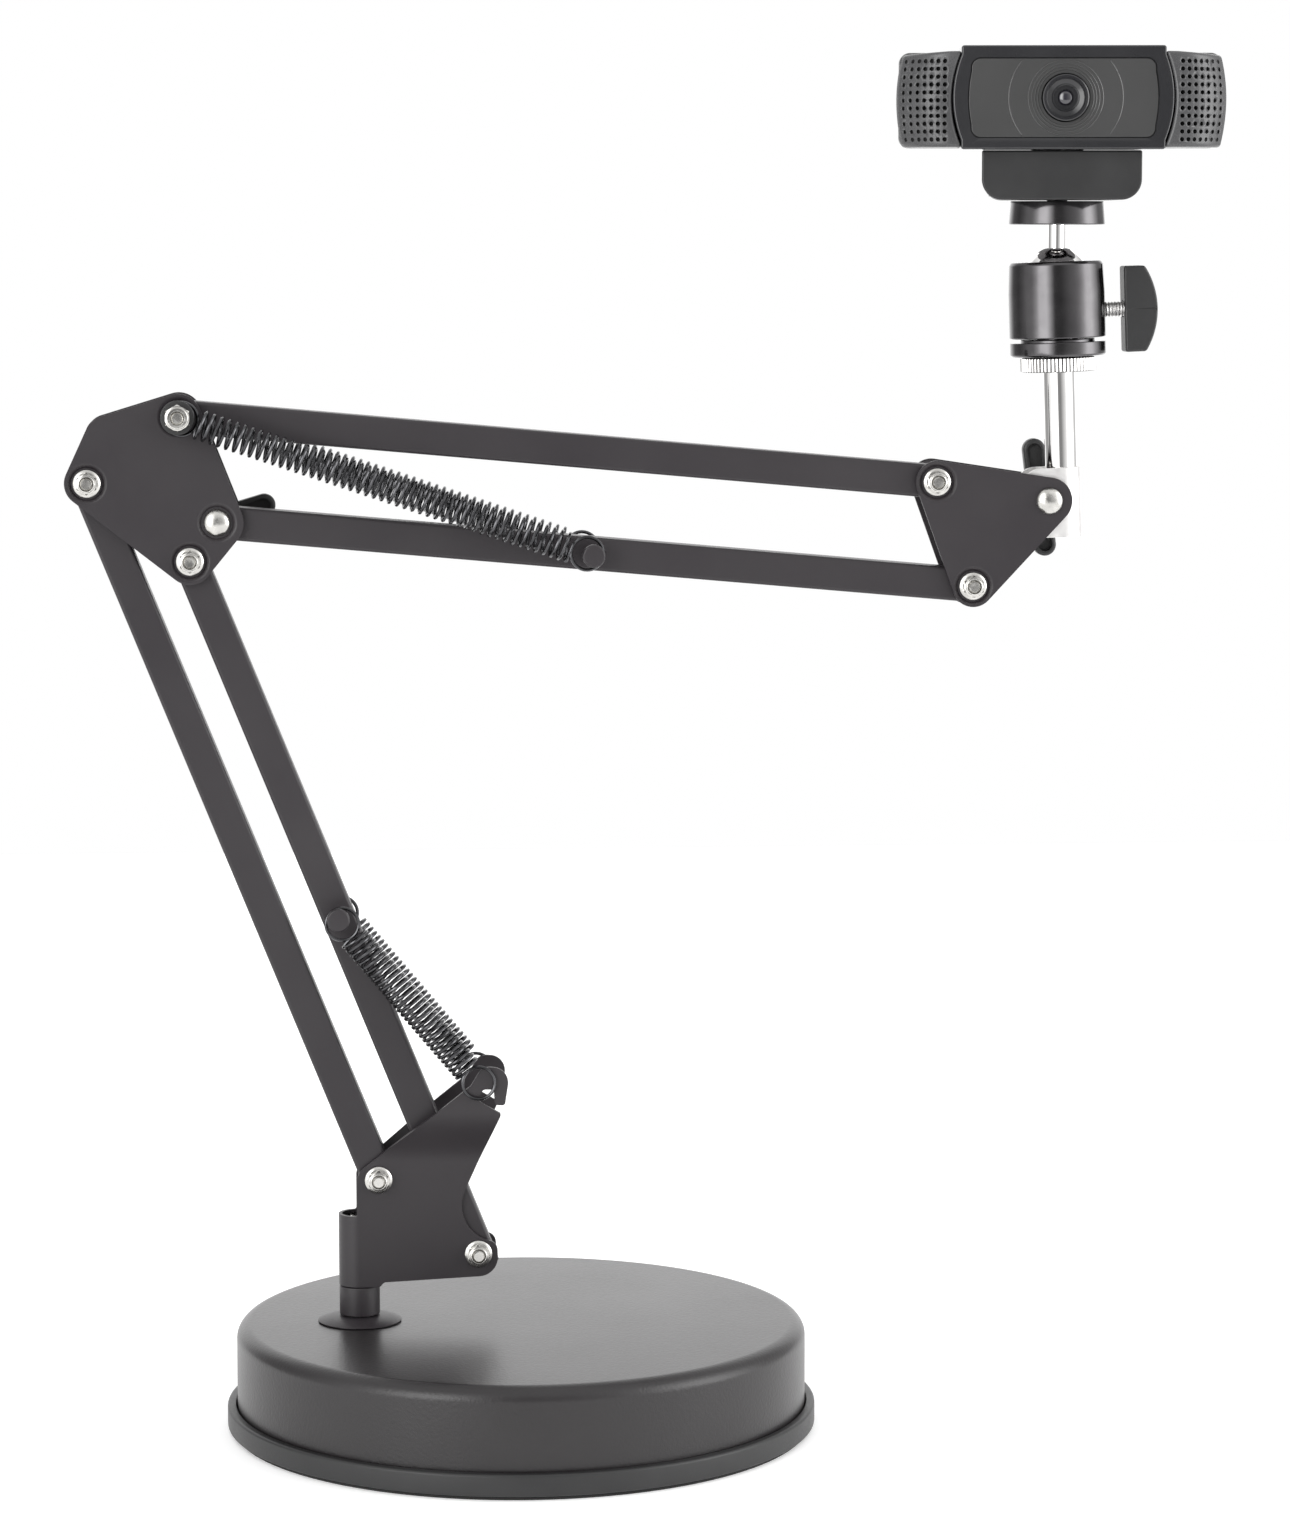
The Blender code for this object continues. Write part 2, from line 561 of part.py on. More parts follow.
def make_arm():
    swivel = body_frame("swivel_frame", Vector((POLE_X, 0)))
    lower_outer = body_frame("lower_outer_frame", BASE_OUTER)
    lower_inner = body_frame("lower_inner_frame", BASE_INNER)
    elbow = body_frame("elbow_frame", ELBOW_OUTER)
    upper_lower = body_frame("upper_lower_frame", ELBOW_LOCK)
    upper_top = body_frame("upper_top_frame", ELBOW_TOP)
    end = body_frame("end_frame", END_LOWER)

    make_socket_bracket(swivel)
    up = ELBOW_OUTER - BASE_OUTER
    ends = [(0, 2.3), (BAR_PITCH, 2.3)]
    pinned = ends + [(SPRING_PIN_OFFSET, 2.5)]
    make_bar("lower_outer_bar", BASE_OUTER, up, ends, lower_outer)
    make_bar("lower_inner_bar", BASE_INNER, up, pinned, lower_inner)
    make_bar("upper_lower_bar", ELBOW_LOCK, REACH, pinned, upper_lower)
    make_bar("upper_top_bar", ELBOW_TOP, REACH, ends, upper_top)

    lower_pin = BASE_INNER + up.normalized() * SPRING_PIN_OFFSET
    upper_pin = ELBOW_LOCK + REACH.normalized() * SPRING_PIN_OFFSET
    make_spring_pin("lower_spring_pin", (lower_pin.x - BASE_INNER.x, 0, lower_pin.y - BASE_INNER.y),
                    LOWER_SPRING_Y, lower_inner)
    make_spring_pin("upper_spring_pin", (upper_pin.x - ELBOW_LOCK.x, 0, upper_pin.y - ELBOW_LOCK.y),
                    UPPER_SPRING_Y, upper_lower)
    pull = LOOP_RADIUS - WIRE_RADIUS - 2.2 - 0.1
    spool = 3.0
    spool_pull = LOOP_RADIUS - WIRE_RADIUS - spool - 0.1
    for label, side in (("front", -1), ("rear", 1)):
        make_spring("lower_spring_" + label, lower_pin, SPRING_HOOK, pull, 0, side * LOWER_SPRING_Y,
                    lower_inner)
        make_spring("upper_spring_" + label, ELBOW_TOP, upper_pin, spool_pull, pull,
                    side * UPPER_SPRING_Y, upper_lower)
        seat = PINCHED_Y + SHEET / 2 + GAP
        flange = UPPER_SPRING_Y + WIRE_RADIUS + GAP
        turned("spring_spool_" + label,
               [(BOLT_HOLE, flange + 0.9), (4.9, flange + 0.9), (4.9, flange), (spool, flange),
                (spool, seat), (BOLT_HOLE, seat)], PLASTIC,
               at=(ELBOW_TOP.x - ELBOW_OUTER.x, 0, ELBOW_TOP.y - ELBOW_OUTER.y),
               turn=(side * -90, 0, 0), parent=elbow, steps=12)

    corner = Vector((-118.0, 291.0))
    outline = belt([(ELBOW_OUTER.x, ELBOW_OUTER.y, 6.4), (ELBOW_INNER.x, ELBOW_INNER.y, 6.6),
                    (ELBOW_LOCK.x, ELBOW_LOCK.y, 7.6), (ELBOW_TOP.x, ELBOW_TOP.y, 6.6),
                    (corner.x, corner.y, 5.6)])
    pivots = [ELBOW_OUTER, ELBOW_INNER, ELBOW_LOCK, ELBOW_TOP]
    make_plate("elbow_front_plate", outline, pivots, [], -1, elbow)
    make_plate("elbow_rear_plate", outline, pivots, [], 1, elbow)

    outline = belt([(END_TOP.x, END_TOP.y, 6.2), (END_LOWER.x, END_LOWER.y, 6.0),
                    (HEAD_HINGE.x, HEAD_HINGE.y, 6.7)])
    make_plate("end_front_plate", outline, [END_TOP, END_LOWER], [HEAD_HINGE], -1, end)
    make_plate("end_rear_plate", outline, [END_TOP, END_LOWER], [HEAD_HINGE], 1, end)

    seat = PINCHED_Y + SHEET / 2
    spool_top = UPPER_SPRING_Y + WIRE_RADIUS + GAP + 0.9
    make_bolts([("base_outer", BASE_OUTER, seat, swivel), ("base_inner", BASE_INNER, seat, swivel),
                ("elbow_outer", ELBOW_OUTER, seat, elbow), ("elbow_inner", ELBOW_INNER, seat, elbow),
                ("elbow_top", ELBOW_TOP, spool_top, elbow),
                ("end_top", END_TOP, seat, end), ("end_lower", END_LOWER, seat, end)])
    make_lock("elbow_lock", ELBOW_LOCK, seat, -16.7, elbow)
    make_lock("head_lock", HEAD_HINGE, PLATE_Y + SHEET / 2, -97.1, end)


# ---------------------------------------------------------------- head

def make_holder(head):
    """The chrome strap round the post, whose two ears hang on the head lock's bolt."""
    inner, outer = POST_RADIUS + GAP, POST_RADIUS + GAP + 0.6
    low, high = -10.9, 9.4
    ears = -8.1
    wrap = [Vector((ears, -outer))] + arc((POST_OFFSET, 0), outer, -90, 90, 15) + [Vector((ears, outer))]
    wrap += [Vector((ears, inner))] + arc((POST_OFFSET, 0), inner, 90, -90, 15) + [Vector((ears, -inner))]
    mesh = outline_solid(wrap, high - low, "strap")
    mesh.transform(Matrix.Translation((0, 0, (low + high) / 2 * MM)) @ Matrix.Rotation(-pi / 2, 4, "X"))
    holder = add("post_holder", mesh, CHROME, parent=head)
    keep = outline_solid(belt([(ears + 6.0, low + 6.0, 5.9), (30, low + 0.1, 0.1), (30, high - 0.1, 0.1),
                               (ears + 6.0, high - 6.0, 5.9)]), 30, "ear_shape")
    combine(holder, add("ear_keep", keep, parent=head), "INTERSECT")
    cut(holder, add("holder_hole", rod_mesh(BOLT_HOLE, -10, 10, sides=16, axis="Y"), parent=head))


def make_ball_head(head, post):
    groove = 2.4
    turned("head_post", [(0, 45.2), (2.4, 45.2), (2.9, 44.7), (2.9, 41.4), (4.1, 41.4), (POST_RADIUS, 40.9),
                         (POST_RADIUS, groove), (2.3, groove), (2.3, -groove), (POST_RADIUS, -groove),
                         (POST_RADIUS, POST_FOOT + 0.5), (POST_RADIUS - 0.5, POST_FOOT), (0, POST_FOOT)],
           CHROME, parent=post, steps=16)
    low, high = LOCK_NUT_SPAN
    turned("post_lock_nut", [(4.9, high), (10.6, high), (10.95, high - 0.35), (10.95, low + 0.35),
                             (10.6, low), (4.9, low)], CHROME, parent=post, steps=20)
    low, high = PAN_RING_SPAN
    turned("pan_ring", [(0, 50.1), (5.9, 50.1), (5.9, 46.4), (10.75, 46.4), (10.75, high), (13.6, high),
                        (13.9, high - 0.3), (13.9, low + 0.9), (13.0, low), (3.2, low), (3.2, 46.0),
                        (0, 46.0)], ANODISED, parent=post, steps=20)

    low, high = HOUSING_SPAN
    cavity = BALL_RADIUS + 1.6
    bowl = [(p.x, p.y) for p in arc((0, BALL_HEIGHT), cavity, -89.9, 18, 18)][1:]
    housing = turned("ball_housing", [(8.35, high), (13.0, high), (13.6, high - 0.6),
                                      (HOUSING_RADIUS, high - 9), (HOUSING_RADIUS, low + 0.3),
                                      (HOUSING_RADIUS - 0.3, low), (6.2, low), (6.2, 50.4), (0.4, 50.4),
                                      (0.4, BALL_HEIGHT - cavity)] + bowl + [(8.95, high - 0.95)],
                     ANODISED, parent=post, steps=22)
    slot = block_mesh((1.3, 8, 19.5), (0, -13.5, (low + high) / 2 + 0.1))
    cut(housing, add("clamp_slot", slot, turn=(0, 0, 65), parent=post),
        add("clamp_bore", rod_mesh(2.6, 7, 16, axis="X", centre=(0, 0, CLAMP_HEIGHT)), parent=post))

    turned("clamp_screw", [(0, 20.6), (2.25, 20.6), (2.25, 9.6), (1.8, 9.1), (0, 9.1)], CHROME,
           at=(0, 0, CLAMP_HEIGHT), turn=(0, 90, 0), parent=post, steps=12)
    half = 12.4
    bow = arc((19.0 + 9.9 - 23.0, 0), 23.0, -32.5, 32.5, 10)
    knob = add("clamp_knob", outline_solid([Vector((19.2, half)), Vector((19.2, -half))] + bow, 7.8, "knob"),
               PLASTIC, at=(0, 0, CLAMP_HEIGHT), parent=post)
    bevel(knob, 0.7, 2, 50)
    cut(knob, add("knob_bore", rod_mesh(2.55, 15, 20.9, sides=16, axis="X"), parent=knob))

    seat = [(p.x, p.y) for p in arc((0, BALL_HEIGHT), BALL_RADIUS + 1.3, -18, -89.9, 18)]
    inside = [(p.x, p.y) for p in arc((0, BALL_HEIGHT), BALL_RADIUS + GAP, -89.9, -18, 18)]
    seat[-1] = (0, BALL_HEIGHT - BALL_RADIUS - 1.3)
    inside[0] = (0, BALL_HEIGHT - BALL_RADIUS - GAP)
    turned("ball_seat", inside + seat, PLASTIC, parent=post, steps=16)


def make_ball_stem(ball_z, stage):
    facet = 3.3
    ball = [(p.x, p.y) for p in arc((0, ball_z), BALL_RADIUS, degrees(acos(facet / BALL_RADIUS)), -90, 18)]
    ball[-1] = (0, ball_z - BALL_RADIUS)
    neck = PLATFORM_SPAN[0] + 0.3
    flat = ball[0][1]
    turned("ball_stem", [(0, 362.9), (2.4, 362.9), (2.95, 362.3), (2.95, neck), (2.5, neck), (2.5, flat)]
           + ball, CHROME, parent=stage, steps=18)
    low, high = PLATFORM_SPAN
    turned("camera_platform", [(3.3, high), (13.1, high), (13.4, high - 0.3), (13.95, low + 0.5),
                               (13.5, low), (3.3, low)], ANODISED, parent=stage, steps=24)


# ---------------------------------------------------------------- camera

def make_clip(stage):
    low, high = CLIP_SPAN
    half = 22.8
    front, back = -19.0, 13.0
    shape = rounded([(-half, high, 1.0), (-half, low, 5.8), (half, low, 5.8), (half, high, 1.0)], 22)
    clip = add("clip_block", outline_solid(shape, back - front, "clip"), PLASTIC,
               at=(0, (front + back) / 2, 0), parent=stage)
    y, z = LEG_HINGE
    tools = []
    for sign in (-1, 1):
        ear = block_mesh((4.8, y - back + 3.0, 4.2), (sign * 17.5, (y + back - 3.0) / 2, z))
        knuckle = rod_mesh(2.5, -2.5, 2.5, sides=16, axis="X", centre=(sign * 17.5, y, z))
        tools += [add("leg_ear", ear, parent=stage), add("leg_knuckle", knuckle, parent=stage)]
    tools.append(add("leg_pin", rod_mesh(1.2, -17, 17, sides=12, axis="X", centre=(0, y, z)), parent=stage))
    y, z = CAMERA_HINGE
    relief = add("camera_relief", rod_mesh(3.1, -8.0, 8.0, sides=18, axis="X", centre=(0, y, z)),
                 parent=stage)
    slot = add("camera_slot", block_mesh((16.0, 8.0, 6.2), (0, y + 0.9, z + 3.1)), parent=stage)
    pin = add("camera_pin", rod_mesh(1.1, -9, 9, sides=12, axis="X", centre=(0, y, z)), parent=stage)
    thread = add("tripod_bore", rod_mesh(3.3, low - 1, low + 5.9, sides=18), parent=stage)
    join(clip, *tools)
    cut(clip, relief, slot, thread)
    join(clip, pin)

    y, z = LEG_HINGE
    length = 33.0
    leg = add("clip_leg", block_mesh((29.0, length, 4.4), (0, length / 2 + 1.0, 0)), PLASTIC,
              at=(0, y, z), parent=stage)
    bevel(leg, 1.3, 2)
    join(leg, add("leg_barrel", rod_mesh(2.4, -14.5, 14.5, sides=16, axis="X"), parent=leg))
    cut(leg, add("leg_bore", rod_mesh(1.5, -20, 20, sides=12, axis="X"), parent=leg))


def wing_outline(sign):
    """A grille wing from above: flat against the body, and bowed from the seam round to its side."""
    tip = Vector((sign * BODY_HALF, -12.5))
    seam = sign * (WING_X + 0.15)
    face = [Vector((seam, -22.2)), Vector((sign * 36.5, -21.6)), Vector((sign * 41.0, -20.1)),
            Vector((sign * 44.6, -17.4)), tip, Vector((sign * 46.4, -10.4)), Vector((seam, -10.4))]
    return face


def make_camera(stage):
    low, high = BODY_SPAN
    middle = (low + high) / 2
    wing_low, wing_high = low + 0.6, high - 1.6

    shell = add("rear_shell", block_mesh((92.0, 11.2, wing_high - wing_low),
                                         (0, -4.5, (wing_low + wing_high) / 2)), PLASTIC, parent=stage)
    bevel(shell, 4.2, 3)
    hollow = block_mesh((86.0, 8.0, wing_high - wing_low - 5.0), (0, -7.6, (wing_low + wing_high) / 2))
    face = block_mesh((100.0, 6.0, 40.0), (0, -13.1, middle))
    y, z = CAMERA_HINGE
    lug = add("camera_lug", rod_mesh(2.4, -7.3, 7.3, sides=18, axis="X", centre=(0, y, z)), parent=stage)
    web = add("camera_web", block_mesh((14.6, 6.5, 4.1), (0, y - 1.65, z + 3.35)), parent=stage)
    bore = add("camera_bore", rod_mesh(1.4, -9, 9, sides=12, axis="X", centre=(0, y, z)), parent=stage)
    cable = add("cable_inlet", rod_mesh(1.9, -3, 4, sides=14, axis="Y", centre=(-26.0, 0, low + 9.0)),
                parent=stage)
    cut(shell, add("shell_hollow", hollow, parent=stage), add("shell_face", face, parent=stage))
    join(shell, lug, web)
    cut(shell, bore, cable)

    for label, sign in (("left", -1), ("right", 1)):
        wing = add(label + "_grille", upright(wing_outline(sign), wing_low, wing_high), PLASTIC,
                   parent=stage)
        bevel(wing, 1.2, 2, 50)

    bezel = add("front_bezel", block_mesh((2 * WING_X - 0.3, 12.2, high - low), (0, -16.5, middle)), PLASTIC,
                parent=stage)
    bevel(bezel, 1.0, 2)
    recess_low, recess_high = low + 3.1, high - 3.4
    recess = block_mesh((54.2, 4.4, recess_high - recess_low),
                        (0, -23.6, (recess_low + recess_high) / 2))
    well = rod_mesh(7.2, -30, 0, sides=16, axis="Y", centre=(0.6, 0, LENS_Z))
    cut(bezel, add("panel_recess", recess, parent=stage), add("lens_well", well, parent=stage))

    panel = add("front_panel", block_mesh((53.6, 0.8, recess_high - recess_low - 0.6),
                                          (0, -22.1, (recess_low + recess_high) / 2)), GLOSS, parent=stage)
    cut(panel, add("panel_hole", rod_mesh(6.9, -30, 0, sides=16, axis="Y", centre=(0.6, 0, LENS_Z)),
                   parent=stage))
    turned("lens_barrel", [(0, 23.4), (5.2, 23.4), (5.6, 23.8), (6.3, 23.8), (6.6, 23.4), (6.6, 11.0),
                           (0, 11.0)], GLOSS, at=(0.6, 0, LENS_Z), turn=(90, 0, 0), parent=stage, steps=16)


def upright(points, low, high):
    """An outline drawn from above, extruded between two heights."""
    mesh = outline_solid(points, high - low, "upright")
    mesh.transform(Matrix.Rotation(-pi / 2, 4, "X"))
    mesh.transform(Matrix.Translation((0, 0, (low + high) / 2 * MM)))
    return mesh


def make_head():
    head = frame("head_frame", (HEAD_HINGE.x, 0, HEAD_HINGE.y), (0, HEAD_TILT, 0))
    post = frame("post_frame", (POST_OFFSET, 0, 0), parent=head)
    make_holder(head)
    make_ball_head(head, post)
    tilt = radians(HEAD_TILT)
    ball_x = HEAD_HINGE.x + POST_OFFSET * cos(tilt) + BALL_HEIGHT * sin(tilt)
    ball_z = HEAD_HINGE.y - POST_OFFSET * sin(tilt) + BALL_HEIGHT * cos(tilt)
    stage = frame("camera_frame", (ball_x, 0, 0), (0, 0, CAMERA_YAW))
    make_ball_stem(ball_z, stage)
    make_clip(stage)
    make_camera(stage)


make_base()
make_arm()
make_head()
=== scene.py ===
# Looks of a webcam on a spring-balanced desk arm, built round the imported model. Sizes are in millimetres
# and angles in degrees. Every mesh is made in place, in the model's own frame: the origin is under the
# middle of the base, +X is the way the arm reaches and -Y is the front.

from math import acos, atan2, cos, degrees, pi, radians, sin

import bmesh
import bpy
from mathutils import Matrix, Vector


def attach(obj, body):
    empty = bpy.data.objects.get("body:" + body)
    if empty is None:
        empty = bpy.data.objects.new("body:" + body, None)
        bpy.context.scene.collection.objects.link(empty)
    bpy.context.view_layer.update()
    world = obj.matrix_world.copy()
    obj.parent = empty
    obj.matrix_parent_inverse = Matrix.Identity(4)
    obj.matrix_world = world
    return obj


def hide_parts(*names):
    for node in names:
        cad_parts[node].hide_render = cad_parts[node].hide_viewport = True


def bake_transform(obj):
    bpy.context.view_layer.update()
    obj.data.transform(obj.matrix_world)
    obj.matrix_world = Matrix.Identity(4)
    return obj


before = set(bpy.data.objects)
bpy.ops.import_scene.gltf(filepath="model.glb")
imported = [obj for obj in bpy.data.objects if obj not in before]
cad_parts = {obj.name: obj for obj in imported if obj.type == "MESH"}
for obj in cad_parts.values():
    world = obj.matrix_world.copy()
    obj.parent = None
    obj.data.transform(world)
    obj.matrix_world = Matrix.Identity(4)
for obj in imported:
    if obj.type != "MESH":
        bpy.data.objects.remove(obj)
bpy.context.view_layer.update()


# ---------------------------------------------------------------- studio
# A white sweep in a light tent: bright behind, a tall strip light at the front left, a wide softbox at
# the right, and dark seams between the cloths. The camera stands in front, a little above the arm.

def node(tree, kind, sockets={}, **settings):
    """A node of that kind, its sockets set by name or index to a value or to another node's output."""
    made = tree.nodes.new(kind)
    for name, value in settings.items():
        setattr(made, name, value)
    for key, value in sockets.items():
        if isinstance(value, bpy.types.NodeSocket):
            tree.links.new(value, made.inputs[key])
        else:
            made.inputs[key].default_value = value
    return made


def ramp(tree, amount, stops):
    """A colour ramp of grey or colour stops, given as (position, value)."""
    made = node(tree, "ShaderNodeValToRGB", {"Fac": amount})
    line = made.color_ramp
    while len(line.elements) < len(stops):
        line.elements.new(1.0)
    for element, (position, value) in zip(line.elements, stops):
        element.position = position
        element.color = (*value, 1.0) if isinstance(value, tuple) else (value, value, value, 1.0)
    return made.outputs["Color"]


scene = bpy.context.scene
scene.view_settings.view_transform = "Standard"
lens = bpy.data.cameras.new("view")
lens.lens = 107.5
lens.clip_end = 60.0
camera = bpy.data.objects.new("view", lens)
camera.location = (-0.0660, -1.3164, 0.3490)
aim = Vector((0.0365, 0.0, 0.1945))
camera.rotation_euler = (aim - camera.location).to_track_quat("-Z", "Y").to_euler()
scene.collection.objects.link(camera)
scene.camera = camera

tent = bpy.data.worlds.new("tent")
tent.use_nodes = True
scene.world = tent
tree = tent.node_tree
tree.nodes.clear()
way = node(tree, "ShaderNodeSeparateXYZ", {0: node(tree, "ShaderNodeTexCoord").outputs["Generated"]})
front = node(tree, "ShaderNodeMath", {0: way.outputs["Y"], 1: -1.0}, operation="MULTIPLY")
bearing = node(tree, "ShaderNodeMath", {0: way.outputs["X"], 1: front.outputs[0]}, operation="ARCTAN2")
turn = node(tree, "ShaderNodeMapRange", {"Value": bearing.outputs[0], "From Min": -pi, "From Max": pi})
# Brightness of the cloth by direction, in degrees to the right of the camera's side.
TENT = [(-180, 1.65), (-152, 1.45), (-136, 0.45), (-112, 0.32), (-98, 0.60), (-88, 0.95), (-70, 1.10),
        (-58, 2.50), (-52, 4.60), (-34, 5.20), (-24, 2.20), (-15, 0.26), (2, 0.26), (16, 0.55),
        (35, 0.90), (46, 1.40), (56, 2.60), (66, 4.90), (80, 5.00), (94, 2.60), (108, 0.80),
        (135, 0.50), (150, 1.45), (180, 1.65)]
PEAK = 6.0
ROOF_START, ROOF_FULL = 0.42, 0.75
walls = ramp(tree, turn.outputs[0], [(angle / 360 + 0.5, value / PEAK) for angle, value in TENT])
roof = node(tree, "ShaderNodeMapRange",
            {"Value": way.outputs["Z"], "From Min": ROOF_START, "From Max": ROOF_FULL})
light = node(tree, "ShaderNodeMix", {0: roof.outputs[0], 6: walls, 7: (1 / PEAK, 1 / PEAK, 1 / PEAK, 1.0)},
             data_type="RGBA")
around = node(tree, "ShaderNodeBackground", {"Color": light.outputs[2], "Strength": PEAK})
behind = node(tree, "ShaderNodeBackground", {"Color": (1.0, 1.0, 1.0, 1.0), "Strength": 1.0})
seen = node(tree, "ShaderNodeLightPath").outputs["Is Camera Ray"]
both = node(tree, "ShaderNodeMixShader", {0: seen, 1: around.outputs[0], 2: behind.outputs[0]})
node(tree, "ShaderNodeOutputWorld", {"Surface": both.outputs[0]})

FLOOR_HALF = 1.25
floor_mesh = bpy.data.meshes.new("floor")
floor_mesh.from_pydata([(x * FLOOR_HALF, y * FLOOR_HALF, 0) for x, y in ((-1, -1), (1, -1), (1, 1), (-1, 1))],
                       [], [(0, 1, 2, 3)])
sweep = bpy.data.materials.new("white_sweep")
sweep.use_nodes = True
paper = sweep.node_tree.nodes["Principled BSDF"]
paper.inputs["Base Color"].default_value = (0.86, 0.86, 0.86, 1.0)
paper.inputs["Roughness"].default_value = 0.9
paper.inputs["Emission Color"].default_value = (1.0, 1.0, 1.0, 1.0)
paper.inputs["Emission Strength"].default_value = 0.34
floor_mesh.materials.append(sweep)
floor = bpy.data.objects.new("floor", floor_mesh)
scene.collection.objects.link(floor)


# ---------------------------------------------------------------- base
# A round cover pressed from sheet and painted satin black over a cast iron weight. It sits in a moulded
# plastic tray whose rim shows as a narrow step, on a ribbed rubber pad under the whole base.

MM = 0.001


def finish(name, tones, rough, metallic=0.0, grain=(700.0, 0.12, 0.04), coat=0.0, stretch=(1, 1, 1),
           patch=55.0, spread=0.06, specular=0.5):
    """A surface finish: slow changes between two tones, uneven gloss and a fine relief.

    Grain is the relief's scale, strength and height. Stretch draws the relief out along an axis.
    """
    made = bpy.data.materials.new(name)
    made.use_nodes = True
    tree = made.node_tree
    shader = tree.nodes["Principled BSDF"]
    place = node(tree, "ShaderNodeTexCoord").outputs["Object"]
    slow = node(tree, "ShaderNodeTexNoise", {"Vector": place, "Scale": patch, "Detail": 4.0})
    stretched = node(tree, "ShaderNodeMapping", {"Vector": place, "Scale": stretch})
    fine = node(tree, "ShaderNodeTexNoise",
                {"Vector": stretched.outputs[0], "Scale": grain[0], "Detail": 2.0})
    tone = ramp(tree, slow.outputs["Fac"], [(0.3, tones[0]), (0.7, tones[1])])
    tree.links.new(tone, shader.inputs["Base Color"])
    worn = node(tree, "ShaderNodeMath", {0: slow.outputs["Fac"], 1: fine.outputs["Fac"]},
                operation="MULTIPLY")
    gloss = node(tree, "ShaderNodeMapRange", {"Value": worn.outputs[0], "From Min": 0.1, "From Max": 0.45,
                                              "To Min": rough - spread, "To Max": rough + spread})
    tree.links.new(gloss.outputs[0], shader.inputs["Roughness"])
    relief = node(tree, "ShaderNodeBump", {"Height": fine.outputs["Fac"], "Strength": grain[1],
                                           "Distance": grain[2] * MM})
    tree.links.new(relief.outputs[0], shader.inputs["Normal"])
    shader.inputs["Metallic"].default_value = metallic
    shader.inputs["Coat Weight"].default_value = coat
    shader.inputs["Coat Roughness"].default_value = 0.12
    shader.inputs["Specular IOR Level"].default_value = specular
    return made


def applied(made):
    """Swaps a piece's mesh for the one that its modifiers make, and clears them."""
    graph = bpy.context.evaluated_depsgraph_get()
    mesh = bpy.data.meshes.new_from_object(made.evaluated_get(graph), preserve_all_data_layers=True,
                                           depsgraph=graph)
    made.modifiers.clear()
    made.data = mesh
    return mesh


def settle(made, sharp=35.0):
    """Applies a piece's modifiers, and shades it smooth but for edges that turn by more than the angle."""
    mesh = applied(made)
    mesh.shade_smooth()
    mesh.set_sharp_from_angle(angle=radians(sharp))
    return made


def even_out(made):
    """Weights the normals by face area, so that flats stay flat beside rounded edges."""
    weighted = made.modifiers.new("even", "WEIGHTED_NORMAL")
    weighted.keep_sharp = True
    applied(made)
    return made


def solid(name, points, faces, look, sharp=35.0):
    """A closed piece from points in millimetres, in place, with its faces turned outwards."""
    mesh = bpy.data.meshes.new(name)
    mesh.from_pydata([Vector(point) * MM for point in points], [], faces)
    bm = bmesh.new()
    bm.from_mesh(mesh)
    bmesh.ops.remove_doubles(bm, verts=bm.verts, dist=0.000001)
    bmesh.ops.recalc_face_normals(bm, faces=bm.faces)
    bm.to_mesh(mesh)
    bm.free()
    mesh.materials.append(look)
    made = bpy.data.objects.new(name, mesh)
    scene.collection.objects.link(made)
    return settle(made, sharp)


def turned(name, profile, look, place=Matrix(), steps=96, sharp=35.0):
    """A profile of (radius, height) turned about Z and put in place. Radius 0 at an end makes a pole."""
    points, rows, faces = [], [], []
    for radius, height in profile:
        if radius < 0.001:
            rows.append([len(points)] * steps)
            points.append(place @ Vector((0, 0, height)))
            continue
        rows.append(list(range(len(points), len(points) + steps)))
        for i in range(steps):
            angle = 2 * pi * i / steps
            points.append(place @ Vector((radius * cos(angle), radius * sin(angle), height)))
    pairs = list(zip(rows, rows[1:]))
    if profile[0][0] > 0 and profile[-1][0] > 0:
        pairs.append((rows[-1], rows[0]))
    for low, high in pairs:
        for i in range(steps):
            j = (i + 1) % steps
            face = list(dict.fromkeys([low[i], low[j], high[j], high[i]]))
            if len(face) > 2:
                faces.append(face)
    return solid(name, points, faces, look, sharp)


def arc(centre, radius, start, end, step=8.0):
    """Points along an arc between two angles."""
    count = max(2, round(abs(end - start) / step))
    angles = [radians(start + (end - start) * i / count) for i in range(count + 1)]
    return [Vector((centre[0] + radius * cos(a), centre[1] + radius * sin(a))) for a in angles]


def rounded(corners, step=9.0):
    """A line's points, with each (x, y, radius) corner replaced by its fillet."""
    points = []
    for i, (x, y, radius) in enumerate(corners):
        here = Vector((x, y))
        if radius <= 0:
            points.append(here)
            continue
        back = (Vector(corners[i - 1][:2]) - here).normalized()
        ahead = (Vector(corners[(i + 1) % len(corners)][:2]) - here).normalized()
        half = back.angle(ahead) / 2
        centre = here + (back + ahead).normalized() * radius / sin(half)
        reach = radius * cos(half) / sin(half)
        start = here + back * reach - centre
        end = here + ahead * reach - centre
        first = degrees(atan2(start.y, start.x))
        sweep = (degrees(atan2(end.y, end.x)) - first + 180) % 360 - 180
        points += arc(centre, radius, first, first + sweep, step)
    return points


def carve(made, *tools, operation="DIFFERENCE", sharp=35.0):
    """Cuts tools out of a piece, or joins them to it, and removes them. Cut faces keep the tool's finish."""
    for tool in tools:
        step = made.modifiers.new("carve", "BOOLEAN")
        step.operation = operation
        step.material_mode = "TRANSFER"
        step.object = tool
        step.solver = "EXACT"
    settle(made, sharp)
    for tool in tools:
        bpy.data.objects.remove(tool)
    return made


def fit(piece, body, slot, *nodes):
    """Puts a finished piece in the place of its CAD nodes, on their body."""
    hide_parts(*nodes)
    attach(piece, body)


